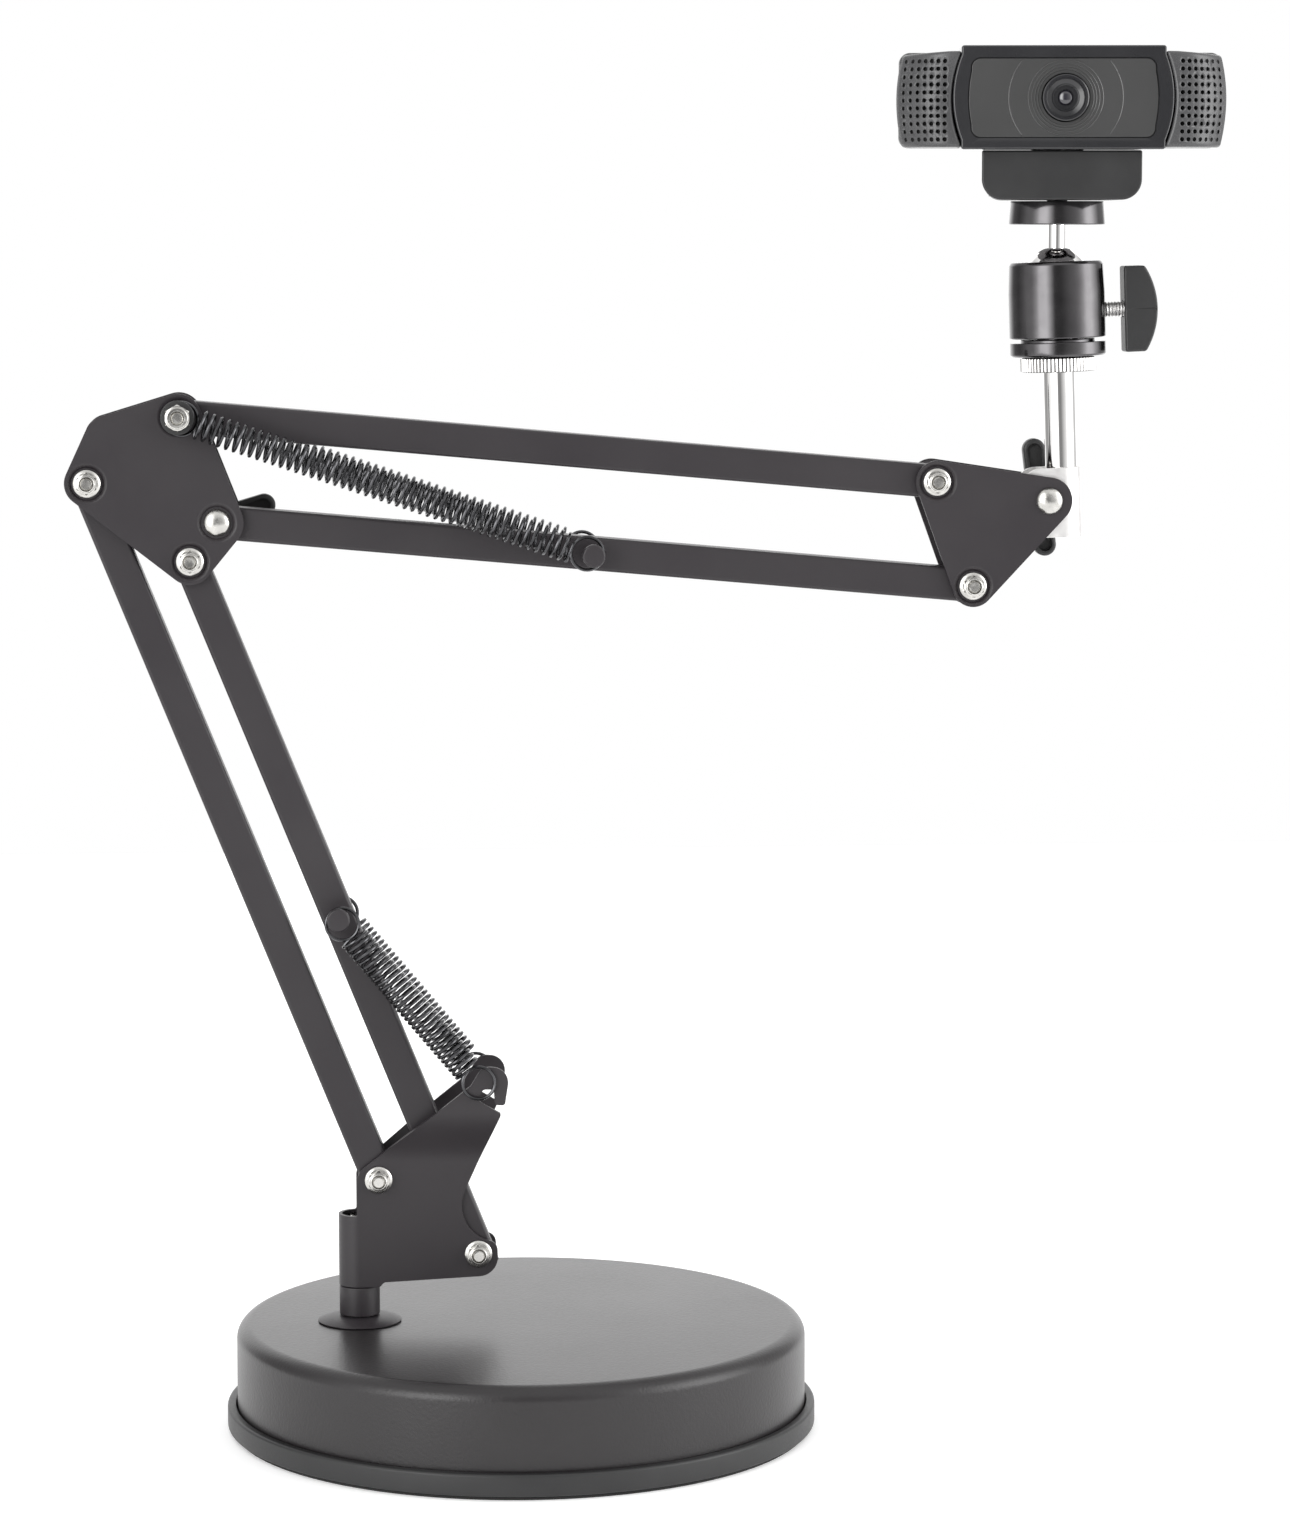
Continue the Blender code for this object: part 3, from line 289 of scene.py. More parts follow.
satin = finish("satin_paint", ((0.015, 0.013, 0.014), (0.020, 0.018, 0.019)), 0.33,
               grain=(1100.0, 0.75, 0.09), patch=30.0, spread=0.02)
moulded = finish("moulded_plastic", ((0.014, 0.014, 0.0145), (0.020, 0.020, 0.0205)), 0.46,
                 grain=(1900.0, 0.30, 0.03), patch=70.0)
cast = finish("cast_iron", ((0.13, 0.125, 0.12), (0.22, 0.20, 0.19)), 0.72, metallic=0.8,
              grain=(420.0, 0.7, 0.25), patch=120.0, spread=0.12)
rubber = finish("ribbed_rubber", ((0.016, 0.016, 0.016), (0.026, 0.026, 0.026)), 0.88,
                grain=(2400.0, 0.5, 0.05), patch=90.0)
POLE_X = -47.4
pole = Matrix.Translation((POLE_X, 0, 0))

COVER_RADIUS, COVER_TOP, COVER_FOOT = 83.4, 31.3, 3.0
WELL_RADIUS, WELL_TOP = 82.0, 29.9
cover_wall = rounded([(0, COVER_TOP, 0), (COVER_RADIUS, COVER_TOP, 4.4), (COVER_RADIUS, COVER_FOOT, 0),
                      (WELL_RADIUS, COVER_FOOT, 0), (WELL_RADIUS, WELL_TOP, 3.0), (0, WELL_TOP, 0)], 7.5)
cover = turned("base_cover", cover_wall, satin, steps=224)
carve(cover, turned("hole", [(0, 20), (5.0, 20), (5.0, 40), (0, 40)], satin, pole, 48))
fit(cover, "base", "base_paint", "base_shell")
TRAY_RADIUS, TRAY_INNER, TRAY_TOP, TRAY_FLOOR, TRAY_FOOT = 86.3, 83.7, 7.6, 2.7, 1.2
tray_wall = rounded([(0, TRAY_FLOOR, 0), (TRAY_INNER, TRAY_FLOOR, 0), (TRAY_INNER, TRAY_TOP, 0.4),
                     (TRAY_RADIUS, TRAY_TOP, 0.9), (TRAY_RADIUS, TRAY_FOOT, 0.6), (0, TRAY_FOOT, 0)], 15)
tray = turned("base_rim_tray", tray_wall, moulded, steps=224)
fit(tray, "base", "plastic", "base_tray")
grooves = [(radius + across, depth) for radius in range(78, 12, -6)
           for across, depth in ((2.2, 0.0), (1.6, 0.3), (-1.6, 0.3), (-2.2, 0.0))]
pad_rim = [(0, 0.9), (84.6, 0.9), (84.8, 0.7), (84.8, 0.2), (84.6, 0.0)]
pad = turned("base_rubber_pad", pad_rim + grooves + [(0, 0.0)], rubber, steps=128)
fit(pad, "base", "rubber", "base_pad")
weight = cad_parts["base_weight"]
weight.data.materials.clear()
weight.data.materials.append(cast)


# ---------------------------------------------------------------- pole
# A painted steel pole pressed into the base, with a thin domed collar round its foot. The bracket above
# turns on its upper half, on a plated bush.

powder = finish("powder_coat", ((0.018, 0.0145, 0.0175), (0.025, 0.0215, 0.024)), 0.45,
                grain=(1500.0, 0.35, 0.03), patch=24.0, spread=0.05)
plated = finish("chrome_plate", ((0.74, 0.73, 0.72), (0.86, 0.85, 0.84)), 0.13, metallic=1.0,
                grain=(260.0, 0.10, 0.02), patch=260.0, spread=0.05)
pin_profile = rounded([(0, 61.4, 0), (4.1, 61.4, 0.6), (4.1, 42.2, 0), (5.9, 42.2, 0.45), (5.9, 33.6, 0.3),
                       (4.7, 33.6, 0), (4.7, 16.2, 0), (4.1, 16.0, 0), (0, 16.0, 0)], 15)
pin = turned("pole", pin_profile, powder, pole, 72)
fit(pin, "base", "paint", "pole_pin")
collar = turned("pole_collar_dome", [(5.0, 33.3), (5.8, 33.3), (7.4, 33.18), (9.0, 32.9), (10.6, 32.45),
                                     (11.8, 32.0), (12.2, 31.8), (12.2, 31.6), (5.0, 31.6)], powder, pole, 96)
fit(collar, "base", "paint", "pole_collar")
bush_wall = rounded([(4.85, 62.6, 0.1), (4.85, 43.0, 0.1), (4.4, 43.0, 0.1), (4.4, 62.6, 0.1)], 45)
bush = turned("plated_bush", bush_wall, plated, pole, 48)
fit(bush, "socket", "chrome", "socket_bush")


# ---------------------------------------------------------------- socket bracket
# One strip of 1 mm steel, folded round the pole into a U with two cheeks. The cheeks spread towards
# their tops, where each is cut into a hook for a spring. Powder coated black.

BOLT_HOLE = 2.2
PINCHED_Y = 5.5
HOOK_Y = 9.9
FLARE_START, FLARE_RISE = 79.0, 17.0
SHEET = 1.0


def sheet_surface(outline, rings):
    """A flat surface in XZ inside an outline, with bands of rings round each bolt hole."""
    bm = bmesh.new()

    def loop(points):
        return [bm.verts.new((point[0], 0, point[1])) for point in points]

    def joined(verts):
        return [bm.edges.new((verts[i - 1], verts[i])) for i in range(len(verts))]

    border = joined(loop(outline))
    bands = []
    for centre, radii in rings:
        circles = [loop(arc(centre, radius, 0, 352.5, 7.5)) for radius in radii]
        border += joined(circles[0])
        bands += list(zip(circles, circles[1:]))
    bmesh.ops.triangle_fill(bm, use_beauty=True, edges=border)
    inside = [face for face in bm.faces
              if any((face.calc_center_median().xz - centre).length < radii[0] for centre, radii in rings)]
    bmesh.ops.delete(bm, geom=inside, context="FACES_ONLY")
    for outer, inner in bands:
        for i in range(len(outer)):
            bm.faces.new((outer[i - 1], outer[i], inner[i], inner[i - 1]))
    return bm


def pressed(name, bm, look):
    """The sheet made from a surface: 1 mm thick, its cut edges eased."""
    bmesh.ops.recalc_face_normals(bm, faces=bm.faces)
    mesh = bpy.data.meshes.new(name)
    bm.to_mesh(mesh)
    bm.free()
    mesh.materials.append(look)
    made = bpy.data.objects.new(name, mesh)
    scene.collection.objects.link(made)
    shell = made.modifiers.new("sheet", "SOLIDIFY")
    shell.thickness = SHEET * MM
    shell.offset = 0
    shell.use_even_offset = True
    edge = made.modifiers.new("eased", "BEVEL")
    edge.width = 0.16 * MM
    edge.segments = 2
    edge.limit_method = "ANGLE"
    edge.angle_limit = radians(50)
    return even_out(settle(made, 50))


turn_length = PINCHED_Y * pi / 2


def cheek(x, z, radius):
    """A corner of the flat strip, from where it ends up on the folded cheek."""
    return (x - POLE_X + turn_length, z, radius)


def s_curve(amount):
    """Nothing below 0, one above 1, and a smooth rise between."""
    amount = min(max(amount, 0.0), 1.0)
    return amount * amount * (3 - 2 * amount)


def bend(point):
    """Where a point of the flat strip ends up: round the pole, then flat, then out to the hooks."""
    side = 1 if point.x < 0 else -1
    reach = abs(point.x)
    if reach < turn_length:
        angle = reach / PINCHED_Y
        return Vector((POLE_X - PINCHED_Y * cos(angle), side * PINCHED_Y * sin(angle), point.z))
    out = PINCHED_Y + (HOOK_Y - PINCHED_Y) * s_curve((point.z - FLARE_START) / FLARE_RISE)
    return Vector((POLE_X + reach - turn_length, side * out, point.z))


BASE_OUTER = Vector((-41.8, 74.4))
BASE_INNER = Vector((-12.8, 52.0))
half_strip = rounded([
    (0, 42.5, 0), cheek(-41.6, 42.5, 1.2), cheek(-40.4, 43.9, 1.5), cheek(-7.0, 45.5, 5.6),
    cheek(-7.2, 55.1, 3.0), cheek(-21.7, 59.6, 11.0), cheek(-6.1, 94.2, 0.8), cheek(-13.1, 98.3, 1.4),
    cheek(-11.4, 101.5, 1.3), cheek(-8.3, 101.4, 1.2), cheek(-8.0, 96.9, 0.9), cheek(-5.1, 96.7, 0.9),
    cheek(-3.4, 107.6, 4.6), cheek(-11.6, 108.2, 3.6), cheek(-15.0, 102.6, 2.0), cheek(-48.1, 76.4, 5.6),
    cheek(-48.1, 63.5, 0.6), (0, 63.5, 0)])
other_half = [Vector((-point.x, point.y)) for point in reversed(half_strip[1:-1])]
holes = [(Vector((side * (pivot.x - POLE_X + turn_length), pivot.y)), (BOLT_HOLE,))
         for side in (1, -1) for pivot in (BASE_OUTER, BASE_INNER)]
strip = sheet_surface(half_strip + other_half, holes)
CUTS = 14
cuts = [((turn_length * i / CUTS, 0, 0), (1, 0, 0)) for i in range(-CUTS, CUTS + 1)]
cuts += [((0, 0, FLARE_START + FLARE_RISE * i / CUTS), (0, 0, 1)) for i in range(CUTS + 1)]
for where, facing in cuts:
    bmesh.ops.bisect_plane(strip, geom=strip.verts[:] + strip.edges[:] + strip.faces[:], plane_co=where,
                           plane_no=facing, dist=0.001)
for vert in strip.verts:
    vert.co = bend(vert.co) * MM
bracket = pressed("folded_bracket", strip, powder)
fit(bracket, "socket", "paint", "socket_bracket")


# ---------------------------------------------------------------- bars
# Four square steel tubes with rounded corners and open ends, two for the lower arm and two for the
# upper. Each is drilled across for its two bolts, and one of each pair for a spring pin.

BAR_PITCH = 218.8
BAR_WIDTH = 9.6
BAR_DEPTH = 9.5
BAR_WALL = 0.9
BAR_OVERHANG = 4.3
SAWN_EDGE = 0.12
LOWER_LEAN = -21.9
UPPER_DROP = 5.1
PIN_ALONG = 107.8
up = Vector((sin(radians(LOWER_LEAN)), cos(radians(LOWER_LEAN))))
across = Vector((cos(radians(UPPER_DROP)), -sin(radians(UPPER_DROP))))
ELBOW_OUTER = BASE_OUTER + BAR_PITCH * up
ELBOW_INNER = ELBOW_OUTER + BASE_INNER - BASE_OUTER
ELBOW_TOP = ELBOW_OUTER + Vector((26.1, 18.9))
ELBOW_LOCK = ELBOW_OUTER + Vector((36.8, -11.3))
END_TOP = ELBOW_TOP + BAR_PITCH * across
END_LOWER = ELBOW_LOCK + BAR_PITCH * across
HEAD_HINGE = END_LOWER + Vector((22.0, 24.7))


def standing(point, lean, y=0.0):
    """The place whose Z runs along a direction in the arm's plane, from a point in it."""
    return Matrix.Translation((point.x, y, point.y)) @ Matrix.Rotation(lean, 4, "Y")


def loft(name, loops, look, sharp=35.0):
    """A ring of equal loops of points joined in order, the last back to the first."""
    count = len(loops[0])
    points = [point for loop in loops for point in loop]
    faces = []
    for k in range(len(loops)):
        low, high = k * count, (k + 1) % len(loops) * count
        for i in range(count):
            j = (i + 1) % count
            faces.append((low + i, low + j, high + j, high + i))
    return solid(name, points, faces, look, sharp)


def square_tube(name, start, direction, drilled):
    """A bar from a pivot along a direction, with holes drilled across at (distance, radius)."""
    place = standing(start, atan2(direction.x, direction.y))
    low, high = -BAR_OVERHANG, BAR_PITCH + BAR_OVERHANG

    def ring(inset, radius, height):
        x, y = BAR_WIDTH / 2 - inset, BAR_DEPTH / 2 - inset
        corners = rounded([(-x, -y, radius), (x, -y, radius), (x, y, radius), (-x, y, radius)], 18)
        return [place @ Vector((p.x, p.y, height)) for p in corners]

    outside = [ring(SAWN_EDGE, 0.9, low), ring(0, 1.0, low + SAWN_EDGE), ring(0, 1.0, high - SAWN_EDGE),
               ring(SAWN_EDGE, 0.9, high)]
    bar = loft(name, outside + [ring(BAR_WALL, 0.4, high), ring(BAR_WALL, 0.4, low)], powder)
    tools = [turned("drill", [(0, -6), (radius, -6), (radius, 6), (0, 6)], powder,
                    place @ Matrix.Translation((0, 0, height)) @ Matrix.Rotation(pi / 2, 4, "X"), 32)
             for height, radius in drilled]
    return even_out(carve(bar, *tools))


bolted = [(0, 2.3), (BAR_PITCH, 2.3)]
pinned = bolted + [(PIN_ALONG, 2.5)]
for node_name, body, start, direction, drilled in (
        ("lower_outer_bar", "lower_outer", BASE_OUTER, up, bolted),
        ("lower_inner_bar", "lower_inner", BASE_INNER, up, pinned),
        ("upper_lower_bar", "upper_lower", ELBOW_LOCK, across, pinned),
        ("upper_top_bar", "upper_top", ELBOW_TOP, across, bolted)):
    fit(square_tube(node_name + "_tube", start, direction, drilled), body, "paint", node_name)


# ---------------------------------------------------------------- arm plates
# Two pairs of flat plates hold the bars at the elbow and at the head end. They are stamped from 1 mm
# steel, with a shallow round dish at each bolt that brings the sheet down to the bar.

PLATE_Y = 6.6
DISH_FLOOR, DISH_WALL = 4.6, 1.15
ELBOW_CORNER = Vector((-118.0, 291.0))


def belt(circles, step=6.0):
    """The outline of a belt round circles, given as (point, radius) counter-clockwise."""
    normals = []
    for i, (point, radius) in enumerate(circles):
        other, other_radius = circles[(i + 1) % len(circles)]
        along = other - point
        normals.append(degrees(atan2(along.y, along.x) - acos((radius - other_radius) / along.length)))
    points = []
    for i, (point, radius) in enumerate(circles):
        sweep = (normals[i] - normals[i - 1]) % 360
        points += arc(point, radius, normals[i - 1], normals[i - 1] + sweep, step)
    return points


def stamped(name, outline, dished, plain, side):
    """A plate in front (-1) or behind (1), with dished and plain bolt holes."""
    rings = [(centre, (6.0, 5.75, 5.45, 5.1, 4.8, 4.6, 4.4, BOLT_HOLE)) for centre in dished]
    rings += [(centre, (BOLT_HOLE,)) for centre in plain]
    bm = sheet_surface(outline, rings)
    for vert in bm.verts:
        nearest = min((vert.co.xz - centre).length for centre in dished)
        out = PINCHED_Y + (PLATE_Y - PINCHED_Y) * s_curve((nearest - DISH_FLOOR) / DISH_WALL)
        vert.co = Vector((vert.co.x, side * out, vert.co.z)) * MM
    return pressed(name, bm, powder)


elbow_outline = belt([(ELBOW_OUTER, 6.4), (ELBOW_INNER, 6.6), (ELBOW_LOCK, 7.6), (ELBOW_TOP, 6.6),
                      (ELBOW_CORNER, 5.6)])
end_outline = belt([(END_TOP, 6.2), (END_LOWER, 6.0), (HEAD_HINGE, 6.7)])
for where, side in (("front", -1), ("rear", 1)):
    plate = stamped(f"elbow_{where}_cheek", elbow_outline,
                    [ELBOW_OUTER, ELBOW_INNER, ELBOW_LOCK, ELBOW_TOP], [], side)
    fit(plate, "elbow", "paint", f"elbow_{where}_plate")
    plate = stamped(f"end_{where}_cheek", end_outline, [END_TOP, END_LOWER], [HEAD_HINGE], side)
    fit(plate, "end_bracket", "paint", f"end_{where}_plate")


# ---------------------------------------------------------------- bolts and nuts
# Plated M4 screws with cross-slotted pan heads at the back and flanged lock nuts in front. The elbow's
# top screw is longer, for the springs' spools, and has a plain nut. A node tree sets a copy of the screw
# and of the nut at every pivot that one body carries.

def new_tree(name, inputs, output):
    """An empty geometry tree with named inputs, and the sockets that bring them in."""
    made = bpy.data.node_groups.new(name, "GeometryNodeTree")
    for label, kind in inputs.items():
        made.interface.new_socket(label, in_out="INPUT", socket_type="NodeSocket" + kind)
    made.interface.new_socket(output, in_out="OUTPUT", socket_type="NodeSocketGeometry")
    return made, node(made, "NodeGroupInput").outputs


def end_tree(tree, geometry, look):
    """Ends a tree: its copies made real, and the finish put on."""
    whole = node(tree, "GeometryNodeRealizeInstances", {"Geometry": geometry})
    looked = node(tree, "GeometryNodeSetMaterial", {"Geometry": whole.outputs[0], "Material": look})
    node(tree, "NodeGroupOutput", {0: looked.outputs[0]})


fastener_set, entry = new_tree("fastener_set", {"Seats": "Geometry", "Part": "Object", "Finish": "Material"},
                               "Set")
pattern = node(fastener_set, "GeometryNodeObjectInfo", {"Object": entry["Part"]})
placed = node(fastener_set, "GeometryNodeInstanceOnPoints",
              {"Points": entry["Seats"], "Instance": pattern.outputs["Geometry"]})
end_tree(fastener_set, placed.outputs[0], entry["Finish"])


def grow(name, tree, values, seats=((0, 0, 0),), sharp=35.0):
    """A piece that a node tree makes on a few seats, kept as a plain mesh."""
    mesh = bpy.data.meshes.new(name)
    mesh.from_pydata([Vector(seat) * MM for seat in seats], [], [])
    made = bpy.data.objects.new(name, mesh)
    scene.collection.objects.link(made)
    build = made.modifiers.new("build", "NODES")
    build.node_group = tree
    for item in tree.interface.items_tree:
        if item.in_out == "INPUT" and item.name in values:
            build[item.identifier] = values[item.name]
    return settle(made, sharp)


forward = Matrix.Rotation(pi / 2, 4, "X")       # Z of a turned piece to the front


def hexed(made, low, high, flat):
    """Presses a turned piece to a hexagon between two heights, measured to the front."""
    for vert in made.data.vertices:
        x, height, z = vert.co.x / MM, -vert.co.y / MM, vert.co.z / MM
        radius = (x * x + z * z) ** 0.5
        if low - 0.01 <= height <= high + 0.01 and radius > flat * 0.86:
            angle = (atan2(z, x) + pi / 6) % (pi / 3) - pi / 6
            scale = min(1.0, flat / cos(angle) / radius)
            vert.co.x *= scale
            vert.co.z *= scale
    made.data.set_sharp_from_angle(angle=radians(28))
    return made


THREAD_DEPTH = 0.28


def thread(radius, low, high, pitch=0.7):
    """The profile of a threaded length, as ridges round it."""
    count = round((high - low) / pitch * 2)
    return [(radius - (THREAD_DEPTH if i % 2 else 0.0), low + (high - low) * i / count)
            for i in range(count + 1)]


steel = finish("zinc_plate", ((0.50, 0.49, 0.47), (0.70, 0.69, 0.66)), 0.24, metallic=1.0,
               grain=(420.0, 0.25, 0.03), patch=420.0, spread=0.08)
SEAT = PINCHED_Y + SHEET / 2
SPOOL_SEAT = 13.7


def nut_part(flange):
    """A lock nut, with or without a flange under its hexagon."""
    if flange:
        profile = rounded([(2.05, 0, 0), (4.0, 0, 0.2), (4.0, 0.55, 0.25), (3.2, 1.0, 0.1)], 30)
    else:
        profile = [Vector((2.05, 0)), Vector((3.9, 0.0))]
    flat = 2.75 if flange else 3.4
    corner = flat / cos(pi / 6)
    start = 1.0 if flange else 0.0
    profile += [Vector((corner, start + 0.02)), Vector((corner, 2.45)), Vector((flat + 0.1, 2.85)),
                Vector((flat - 0.1, 2.9))]
    profile += rounded([(flat - 0.25, 2.95, 0), (flat - 0.3, 3.6, 0.35), (2.0, 3.6, 0.1), (2.0, 3.2, 0)], 22)
    made = turned("nut", profile, steel, forward, 72)
    return hexed(made, start, 2.86, flat)


def box_tool(size, centre, look, place=Matrix(), turn=0.0):
    """A plain block used to cut or join, turned about Y."""
    x, y, z = (side / 2 for side in size)
    corners = [Vector((a * x, b * y, c * z)) for a in (-1, 1) for b in (-1, 1) for c in (-1, 1)]
    where = place @ Matrix.Translation(centre) @ Matrix.Rotation(turn, 4, "Y")
    faces = [(0, 1, 3, 2), (4, 6, 7, 5), (0, 4, 5, 1), (2, 3, 7, 6), (0, 2, 6, 4), (1, 5, 7, 3)]
    return solid("block", [where @ corner for corner in corners], faces, look)


def screw_part(front_end, back_seat):
    """A pan head behind, a plain shank, and a threaded end that stands out of the nut in front."""
    head = rounded([(0, -back_seat - 2.2, 0), (2.6, -back_seat - 2.1, 0.8), (4.0, -back_seat - 0.9, 0.5),
                    (4.0, -back_seat, 0.1)], 15)
    end = thread(1.9, front_end - 3.6, front_end - 0.4) + [(1.4, front_end), (0, front_end)]
    made = turned("screw", head + [(1.9, -back_seat)] + end, steel, forward, 48)
    slots = [box_tool((4.4, 1.6, 0.9), (0, back_seat + 2.0, 0), powder, turn=turn) for turn in (0, pi / 2)]
    return carve(made, *slots)


SEAT_GAP = 0.2
flange_nut, plain_nut = nut_part(True), nut_part(False)
short_screw = screw_part(SEAT + 4.3, SEAT + SEAT_GAP)
long_screw = screw_part(SPOOL_SEAT + 4.3, SPOOL_SEAT + SEAT_GAP)
for name, body, nut, screw, seat, pivots in (
        ("socket", "socket", flange_nut, short_screw, SEAT,
         {"base_outer": BASE_OUTER, "base_inner": BASE_INNER}),
        ("elbow", "elbow", flange_nut, short_screw, SEAT,
         {"elbow_outer": ELBOW_OUTER, "elbow_inner": ELBOW_INNER}),
        ("end_bracket", "end_bracket", flange_nut, short_screw, SEAT,
         {"end_top": END_TOP, "end_lower": END_LOWER}),
        ("spool", "elbow", plain_nut, long_screw, SPOOL_SEAT, {"elbow_top": ELBOW_TOP})):
    nuts = grow(name + "_nuts", fastener_set, {"Part": nut, "Finish": steel},
                [(pivot.x, -seat - SEAT_GAP, pivot.y) for pivot in pivots.values()], 28)
    fit(nuts, body, "chrome", *["nut_" + label for label in pivots])
    screws = grow(name + "_screws", fastener_set, {"Part": screw, "Finish": steel},
                  [(pivot.x, 0, pivot.y) for pivot in pivots.values()])
    fit(screws, body, "chrome", *["bolt_" + label for label in pivots])
for pattern in (flange_nut, plain_nut, short_screw, long_screw):
    bpy.data.objects.remove(pattern)


# ---------------------------------------------------------------- springs and their pins
# Two pairs of extension springs balance the arm, wound from 1 mm black oxide wire with a round loop at
# each end. They hang on shouldered steel pins through a bar, on the hooks, and on plastic spools.

oxide = finish("black_oxide_wire", ((0.060, 0.060, 0.063), (0.095, 0.095, 0.100)), 0.24, metallic=1.0,
               grain=(900.0, 0.2, 0.02), patch=200.0)
COIL_RADIUS = 4.5
WIRE_RADIUS = 0.5
LOOP_RADIUS = 4.7
LOWER_SPRING_Y = 11.2
UPPER_SPRING_Y = 12.0
SPRING_HOOK = Vector((-12.7, 103.6))

wound_spring, entry = new_tree(
    "wound_spring", {"Coil Radius": "Float", "Wire Radius": "Float", "Turns": "Float", "Span": "Float",
                     "Loop Radius": "Float", "Finish": "Material"}, "Spring")


def reckon(first, second, operation="ADD"):
    """A sum, difference or product of two lengths in the spring's tree."""
    return node(wound_spring, "ShaderNodeMath", {0: first, 1: second}, operation=operation).outputs[0]


def spot(x, z):
    """A point in the spring's own plane, in its tree."""
    return node(wound_spring, "ShaderNodeCombineXYZ", {0: x, 2: z}).outputs[0]


coil_start = reckon(entry["Loop Radius"], entry["Wire Radius"])
coil_end = reckon(entry["Span"], coil_start, "SUBTRACT")
coil_length = reckon(coil_end, coil_start, "SUBTRACT")
helix = node(wound_spring, "GeometryNodeCurveSpiral",
             {"Resolution": 18, "Rotations": entry["Turns"], "Start Radius": entry["Coil Radius"],
              "End Radius": entry["Coil Radius"], "Height": coil_length})
raised = node(wound_spring, "GeometryNodeTransform",
              {"Geometry": helix.outputs[0], "Translation": spot(0.0, coil_start)})
strands = [raised.outputs[0]]
far_loop_edge = reckon(entry["Span"], entry["Loop Radius"], "SUBTRACT")
for centre, coil_edge, loop_edge in ((0.0, coil_start, entry["Loop Radius"]),
                                     (entry["Span"], coil_end, far_loop_edge)):
    ring = node(wound_spring, "GeometryNodeCurvePrimitiveCircle",
                {"Resolution": 40, "Radius": entry["Loop Radius"]})
    eye = node(wound_spring, "GeometryNodeTransform",
               {"Geometry": ring.outputs[0], "Rotation": (pi / 2, 0, 0), "Translation": spot(0.0, centre)})
    corner = spot(reckon(entry["Coil Radius"], 0.55, "MULTIPLY"), loop_edge)
    crossover = node(wound_spring, "GeometryNodeCurveQuadraticBezier",
                     {"Resolution": 10, "Start": spot(entry["Coil Radius"], coil_edge), "Middle": corner,
                      "End": spot(0.0, loop_edge)})
    strands += [eye.outputs[0], crossover.outputs[0]]
gathered = node(wound_spring, "GeometryNodeJoinGeometry")
for strand in strands:
    wound_spring.links.new(strand, gathered.inputs[0])
wire = node(wound_spring, "GeometryNodeCurvePrimitiveCircle",
            {"Resolution": 8, "Radius": entry["Wire Radius"]})
drawn = node(wound_spring, "GeometryNodeCurveToMesh",
             {"Curve": gathered.outputs[0], "Profile Curve": wire.outputs[0], "Fill Caps": True})
end_tree(wound_spring, drawn.outputs[0], entry["Finish"])


def shift(made, place):
    """Moves a finished mesh to a place given in millimetres."""
    made.data.transform(Matrix.Scale(MM, 4) @ place @ Matrix.Scale(1 / MM, 4))


NECK = 2.2
SPOOL_NECK = 3.0
SPRING_PLAY = 0.3
lower_pin = BASE_INNER + up * PIN_ALONG
upper_pin = ELBOW_LOCK + across * PIN_ALONG
pull = LOOP_RADIUS - WIRE_RADIUS - NECK - 0.1
spool_pull = LOOP_RADIUS - WIRE_RADIUS - SPOOL_NECK - 0.1
for label, first, last, pulls, y, turns, bodies in (
        ("lower", lower_pin, SPRING_HOOK, (pull, 0.0), LOWER_SPRING_Y, 31.0, ("lower_inner", "socket")),
        ("upper", ELBOW_TOP, upper_pin, (spool_pull, pull), UPPER_SPRING_Y, 48.0, ("elbow", "upper_lower"))):
    along = (last - first).normalized()
    begin, end = first + along * pulls[0], last - along * pulls[1]
    for where, side in (("front", -1), ("rear", 1)):
        coil = grow(f"{label}_{where}_coil", wound_spring,
                    {"Coil Radius": (COIL_RADIUS - WIRE_RADIUS) * MM, "Wire Radius": WIRE_RADIUS * MM,
                     "Turns": turns, "Span": (end - begin).length * MM, "Loop Radius": LOOP_RADIUS * MM,
                     "Finish": oxide})
        shift(coil, standing(begin, atan2(along.x, along.y), side * y))
        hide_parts(f"{label}_spring_{where}")
        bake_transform(coil)

for label, at, y, body in (("lower", lower_pin, LOWER_SPRING_Y, "lower_inner"),
                           ("upper", upper_pin, UPPER_SPRING_Y, "upper_lower")):
    head = y + WIRE_RADIUS + SPRING_PLAY
    near = rounded([(0, head + 2.4, 0), (3.3, head + 2.4, 0.6), (3.3, head, 0.2), (NECK, head, 0)], 15)
    far = [Vector((point.x, -point.y)) for point in reversed(near)]
    stud = turned(label + "_pin_stud", near + far, powder, Matrix.Translation((at.x, 0, at.y)) @ forward, 56)
    fit(stud, body, "paint", label + "_spring_pin")
flange = UPPER_SPRING_Y + WIRE_RADIUS + SPRING_PLAY
spool_wall = rounded([(BOLT_HOLE, flange + 0.9, 0), (4.9, flange + 0.9, 0.3), (4.9, flange, 0.3),
                      (SPOOL_NECK, flange, 0.3), (SPOOL_NECK, 6.3, 0), (BOLT_HOLE, 6.3, 0)], 30)
for where, side in (("front", -1), ("rear", 1)):
    outwards = Matrix.Translation((ELBOW_TOP.x, 0, ELBOW_TOP.y)) @ Matrix.Rotation(-side * pi / 2, 4, "X")
    spool = turned(where + "_spool", spool_wall, moulded, outwards, 56)
    fit(spool, "elbow", "plastic", "spring_spool_" + where)


# ---------------------------------------------------------------- locks
# A round-headed plated bolt runs through both plates at the elbow and at the head, with a moulded wing
# nut behind that clamps the joint. The wings have hollowed faces for the fingers.


